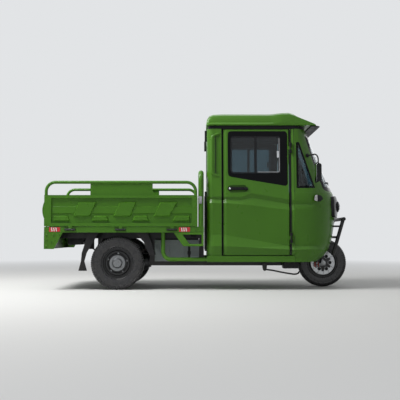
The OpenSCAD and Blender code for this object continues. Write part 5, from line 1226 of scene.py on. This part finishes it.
class TRICYCLE_OT_driver_place(bpy.types.Operator):
    """Fit the wiper, the dial pod, the grips and levers of the handlebar, and the brake pedal"""

    bl_idname = "tricycle.driver_place"
    bl_label = "Driver's place"

    def on_screen(self, y, z, off):
        place, normal = on("cab_glass", (2.0, y, z), (-1, 0, 0))
        return place + normal * off

    def execute(self, context):
        blade = [self.on_screen(-0.31 + 0.04 * k, 1.095 + 0.002 * k, 0.0065) for k in range(12)]
        arm = [self.on_screen(0.13 - 0.05 * k, 1.022 + 0.0165 * k, 0.014) for k in range(6)]
        place, normal = on("cab_glass", WIPER_PIVOT, (-1, 0, 0))
        cap = ((0.0, 0.019), (0.007, 0.019), (0.012, 0.014), (0.012, 0.0), (0.0, 0.0))
        cap = turned(cap, place, normal, (0, 1, 0), 28)
        piece(joined([tube(arm, 0.005), cap]), "wiper_arm", "chassis", "trim_plastic")
        piece(tube(blade, 0.0058), "wiper_blade", "chassis", "seal_rubber")
        pod = ((1.14, 0.9405), (1.262, 0.9405), (1.262, 0.985), (1.228, 1.01), (1.19, 1.013))
        pod = slab(pod, -0.095, 0.19, 0.006, 3)
        piece(pod, "dial_pod", "chassis", "trim_plastic")
        corners = ((1.1497, -0.078, 0.955), (1.1807, -0.078, 0.999), (1.1807, 0.078, 0.999), (1.1497, 0.078, 0.955))
        dial = prism([(x - 0.0012, y, z + 0.0008) for x, y, z in corners], (-0.002, 0, 0.0014), 0.0006, 1)
        piece(dial, "dial_face", "chassis", "dial_glass")
        grip = [(0.0155, 0.19)]
        for k in range(15):
            grip += [(r, start + 0.008 * k) for r, start in ((0.0178, 0.192), (0.0178, 0.1965), (0.0168, 0.1972),
                                                             (0.0168, 0.1994))]
        grip += [(0.0195, 0.313), (0.0195, 0.316), (0.0, 0.318)]
        grips, controls = [], []
        for _, s in SIDES:
            grips.append(turned([(r, s * a) for r, a in grip], HANDLEBAR, (0, 1, 0), (1, 0, 0), 32))
            near, far = sorted((s * 0.145, s * 0.185))
            controls.append(cube((1.016, near, 0.979), (1.06, far, 1.022), 0.006, 3))
            controls.append(tube([(1.05, s * 0.165, 1.002), (1.083, s * 0.19, 1.0), (1.088, s * 0.24, 0.998),
                                  (1.082, s * 0.3, 0.996)], 0.0058, 0.02))
        piece(joined(grips), "handlebar_grips", "steering", "grip_rubber")
        piece(joined(controls), "handlebar_controls", "steering", "trim_plastic")
        pedal = tube([(0.985, -0.13, 0.33), (0.965, -0.13, 0.36), (0.928, -0.13, 0.372)], 0.008, 0.02)
        pad = slab(((0.915, 0.356), (0.933, 0.366), (0.921, 0.392), (0.903, 0.382)), -0.17, 0.08, 0.003, 2)
        piece(joined([pedal, pad]), "brake_pedal", "chassis", "chassis_enamel")
        return {"FINISHED"}


class TRICYCLE_OT_underside(bpy.types.Operator):
    """Hang the brake linkage and its box under the cab, dress the battery box, charger case, brake disc and caliper"""

    bl_idname = "tricycle.underside"
    bl_label = "Underside"

    def execute(self, context):
        outward = lambda c, n: n.y < -0.9
        foot = ((0.65, 0.28), (0.702, 0.28), (0.698, 0.212), (0.69, 0.19), (0.676, 0.184), (0.663, 0.19),
                (0.656, 0.215))
        bracket = [slab(foot, y, 0.006, 0.0015, 2) for y in (-0.4, -0.4 + 0.03)]
        pin = ((0.0, -0.02), (0.011, -0.02), (0.011, 0.02), (0.0, 0.02))
        bracket.append(turned(pin, (0.677, -0.382, 0.2), (0, 1, 0)))
        rod = tube([(0.678, -0.382, 0.2), (0.74, -0.382, 0.194), (0.9, -0.382, 0.162), (0.985, -0.382, 0.15),
                    (1.02, -0.38, 0.158), (1.035, -0.378, 0.18)], 0.0085, 0.03)
        box = cube((0.86, -0.47, 0.213), (1.016, -0.34, 0.2795), 0.006, 3)
        dish(box, outward, 0.008, -0.003)
        ribs = [cube((x, -0.4705, 0.222), (x + 0.006, -0.466, 0.27), 0.001, 1) for x in (0.89, 0.92, 0.95, 0.98)]
        piece(joined(bracket + [rod]), "brake_linkage", "chassis", "chassis_enamel")
        piece(joined([box] + ribs), "linkage_box", "chassis", "trim_plastic")
        ribs = [cube((x, -0.3264, 0.286), (x + 0.006, -0.3245, 0.466), 0.0008, 1)
                for x in [-0.448 + 0.0155 * k for k in range(29)] if not -0.118 < x < -0.086]
        pair(joined(ribs), "battery_ribs", CHASSIS, "box_shell")
        strap = [cube((-0.11, -0.3276, 0.283), (-0.086, -0.3248, 0.467), 0.0008, 1),
                 cube((-0.115, -0.3305, 0.35), (-0.081, -0.3265, 0.385), 0.0015, 2)]
        pair(joined(strap), "battery_strap", CHASSIS, "seal_rubber")
        # Dark rubber pad in the gap above the battery box: partly a pad, partly painted shade under the bed
        pad = cube((-0.448, -0.324, 0.5015), (0.0, -0.278, 0.5175), 0.002, 2)
        fuse = [cube((-0.08, -0.344, 0.53), (-0.028, -0.3245, 0.566), 0.003, 2),
                cube((-0.072, -0.3475, 0.537), (-0.052, -0.343, 0.559), 0.0015, 2)]
        pair(joined([pad, *fuse]), "battery_pad", CHASSIS, "seal_rubber")
        case = ((-1.385, 0.5765), (-1.19, 0.5765), (-1.19, 0.532), (-1.232, 0.452), (-1.37, 0.446), (-1.385, 0.462))
        piece(slab(case, -0.19, 0.38, 0.006, 3), "charger_case", "chassis", "trim_plastic")
        axle = middle("front_rim")
        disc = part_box("brake_disc")[0].y
        star = []
        for k in range(6):
            for turn, r in ((30 - 7, 0.094), (30 + 7, 0.094), (30 + 22, 0.056), (30 + 38, 0.056)):
                t = math.radians(60 * k + turn)
                star.append((axle.x + r * math.cos(t), axle.z + r * math.sin(t)))
        piece(slab(star, disc - 0.0002, -0.0019, 0.0006, 2), "disc_carrier", "front_wheel", "rim_enamel")
        body = cube((1.236, disc - 0.034, 0.212), (1.288, disc - 0.006, 0.263), 0.006, 3)
        dish(body, outward, 0.006, -0.003)
        piece(body, "caliper_body", "steering", "caliper_red")
        arm = cube((1.283, disc - 0.05, 0.224), (1.306, disc - 0.02, 0.254), 0.004, 2)
        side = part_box("fork")[0].y
        plate = ((1.318, 0.302), (1.346, 0.266), (1.351, 0.232), (1.3, 0.226), (1.3, 0.262))
        plate = slab(plate, side + 0.0004, -0.006, 0.0015, 2)
        piston = ((0.0, -0.0075), (0.008, -0.0075), (0.0115, -0.0055), (0.0125, 0.0), (0.0125, 0.008), (0.0, 0.008))
        pistons = [turned(piston, (1.262, disc - 0.033, z), (0, 1, 0), (1, 0, 0), 32) for z in (0.224, 0.251)]
        piece(joined([arm, plate, *pistons]), "caliper_arm", "steering", "cast_hub")
        bolted("axle_nut", "steering", [(Vector((axle.x, side - 0.0055, axle.z)), Vector((0, -1, 0)))], 0.013)
        return {"FINISHED"}


class TRICYCLE_OT_fasteners(bpy.types.Operator):
    """Drive the bolts of the bed and its rear brackets, and the nuts of the rear wheels"""

    bl_idname = "tricycle.fasteners"
    bl_label = "Fasteners"

    def execute(self, context):
        size = context.scene.tricycle_sizes.bolt_size
        side = [on("bed_floor", (x, -1, 0.602), (0, 1, 0)) for x in (-0.036, 0.014)]
        side += [on("rear_bumper", (x, -1, z), (0, 1, 0)) for x, z in
                 ((-1.53, 0.556), (-1.46, 0.556), (-1.4, 0.556), (-1.53, 0.5), (-1.48, 0.48), (-1.53, 0.44))]
        spots = []
        for p, n in side:
            spots += [(p, n), (Vector((p.x, -p.y, p.z)), Vector((n.x, -n.y, n.z)))]
        bolted("bed_bolts", "chassis", spots, size, "bed_paint")
        for name, s in SIDES:
            axle, circle, count = middle(f"rear_hub_{name}"), 0.1005, 5
            nuts = []
            for k in range(count):
                a = 2 * math.pi * (k + 0.2) / count
                start = (axle.x + circle * math.cos(a), s, axle.z + circle * math.sin(a))
                nuts.append(on(f"rear_rim_{name}", start, (0, -s, 0)))
            bolted(f"wheel_nuts_{name}", f"rear_wheel_{name}", nuts, size * 1.05)
        return {"FINISHED"}


class TRICYCLE_PT_panel(bpy.types.Panel):
    """The tricycle's pieces in the 3D view's sidebar"""

    bl_idname = "TRICYCLE_PT_panel"
    bl_label = "Cargo tricycle"
    bl_space_type = "VIEW_3D"
    bl_region_type = "UI"
    bl_category = "Tricycle"

    def draw(self, context):
        for operator in OPERATORS:
            self.layout.operator(operator.bl_idname)
        for group in GROUPS:
            values = getattr(context.scene, GROUPS[group])
            for key in group.__annotations__:
                self.layout.prop(values, key)


OPERATORS = (TRICYCLE_OT_stage, TRICYCLE_OT_finishes, TRICYCLE_OT_panels, TRICYCLE_OT_tyres, TRICYCLE_OT_windows,
             TRICYCLE_OT_cab_lining, TRICYCLE_OT_door_fittings, TRICYCLE_OT_seat, TRICYCLE_OT_bed_trim,
             TRICYCLE_OT_lamps, TRICYCLE_OT_mirrors, TRICYCLE_OT_driver_place, TRICYCLE_OT_underside,
             TRICYCLE_OT_fasteners)
GROUPS = {TricyclePaint: "tricycle_paint", TricycleSizes: "tricycle_sizes", TricycleStage: "tricycle_stage"}


def register():
    for cls in (*GROUPS, *OPERATORS, TRICYCLE_PT_panel):
        bpy.utils.register_class(cls)
    for group, name in GROUPS.items():
        setattr(bpy.types.Scene, name, PointerProperty(type=group))


def unregister():
    for name in GROUPS.values():
        delattr(bpy.types.Scene, name)
    for cls in reversed((*GROUPS, *OPERATORS, TRICYCLE_PT_panel)):
        bpy.utils.unregister_class(cls)


def main():
    register()
    for operator in OPERATORS:
        family, name = operator.bl_idname.split(".")
        getattr(getattr(bpy.ops, family), name)()
    only()


if __name__ == "__main__":
    main()
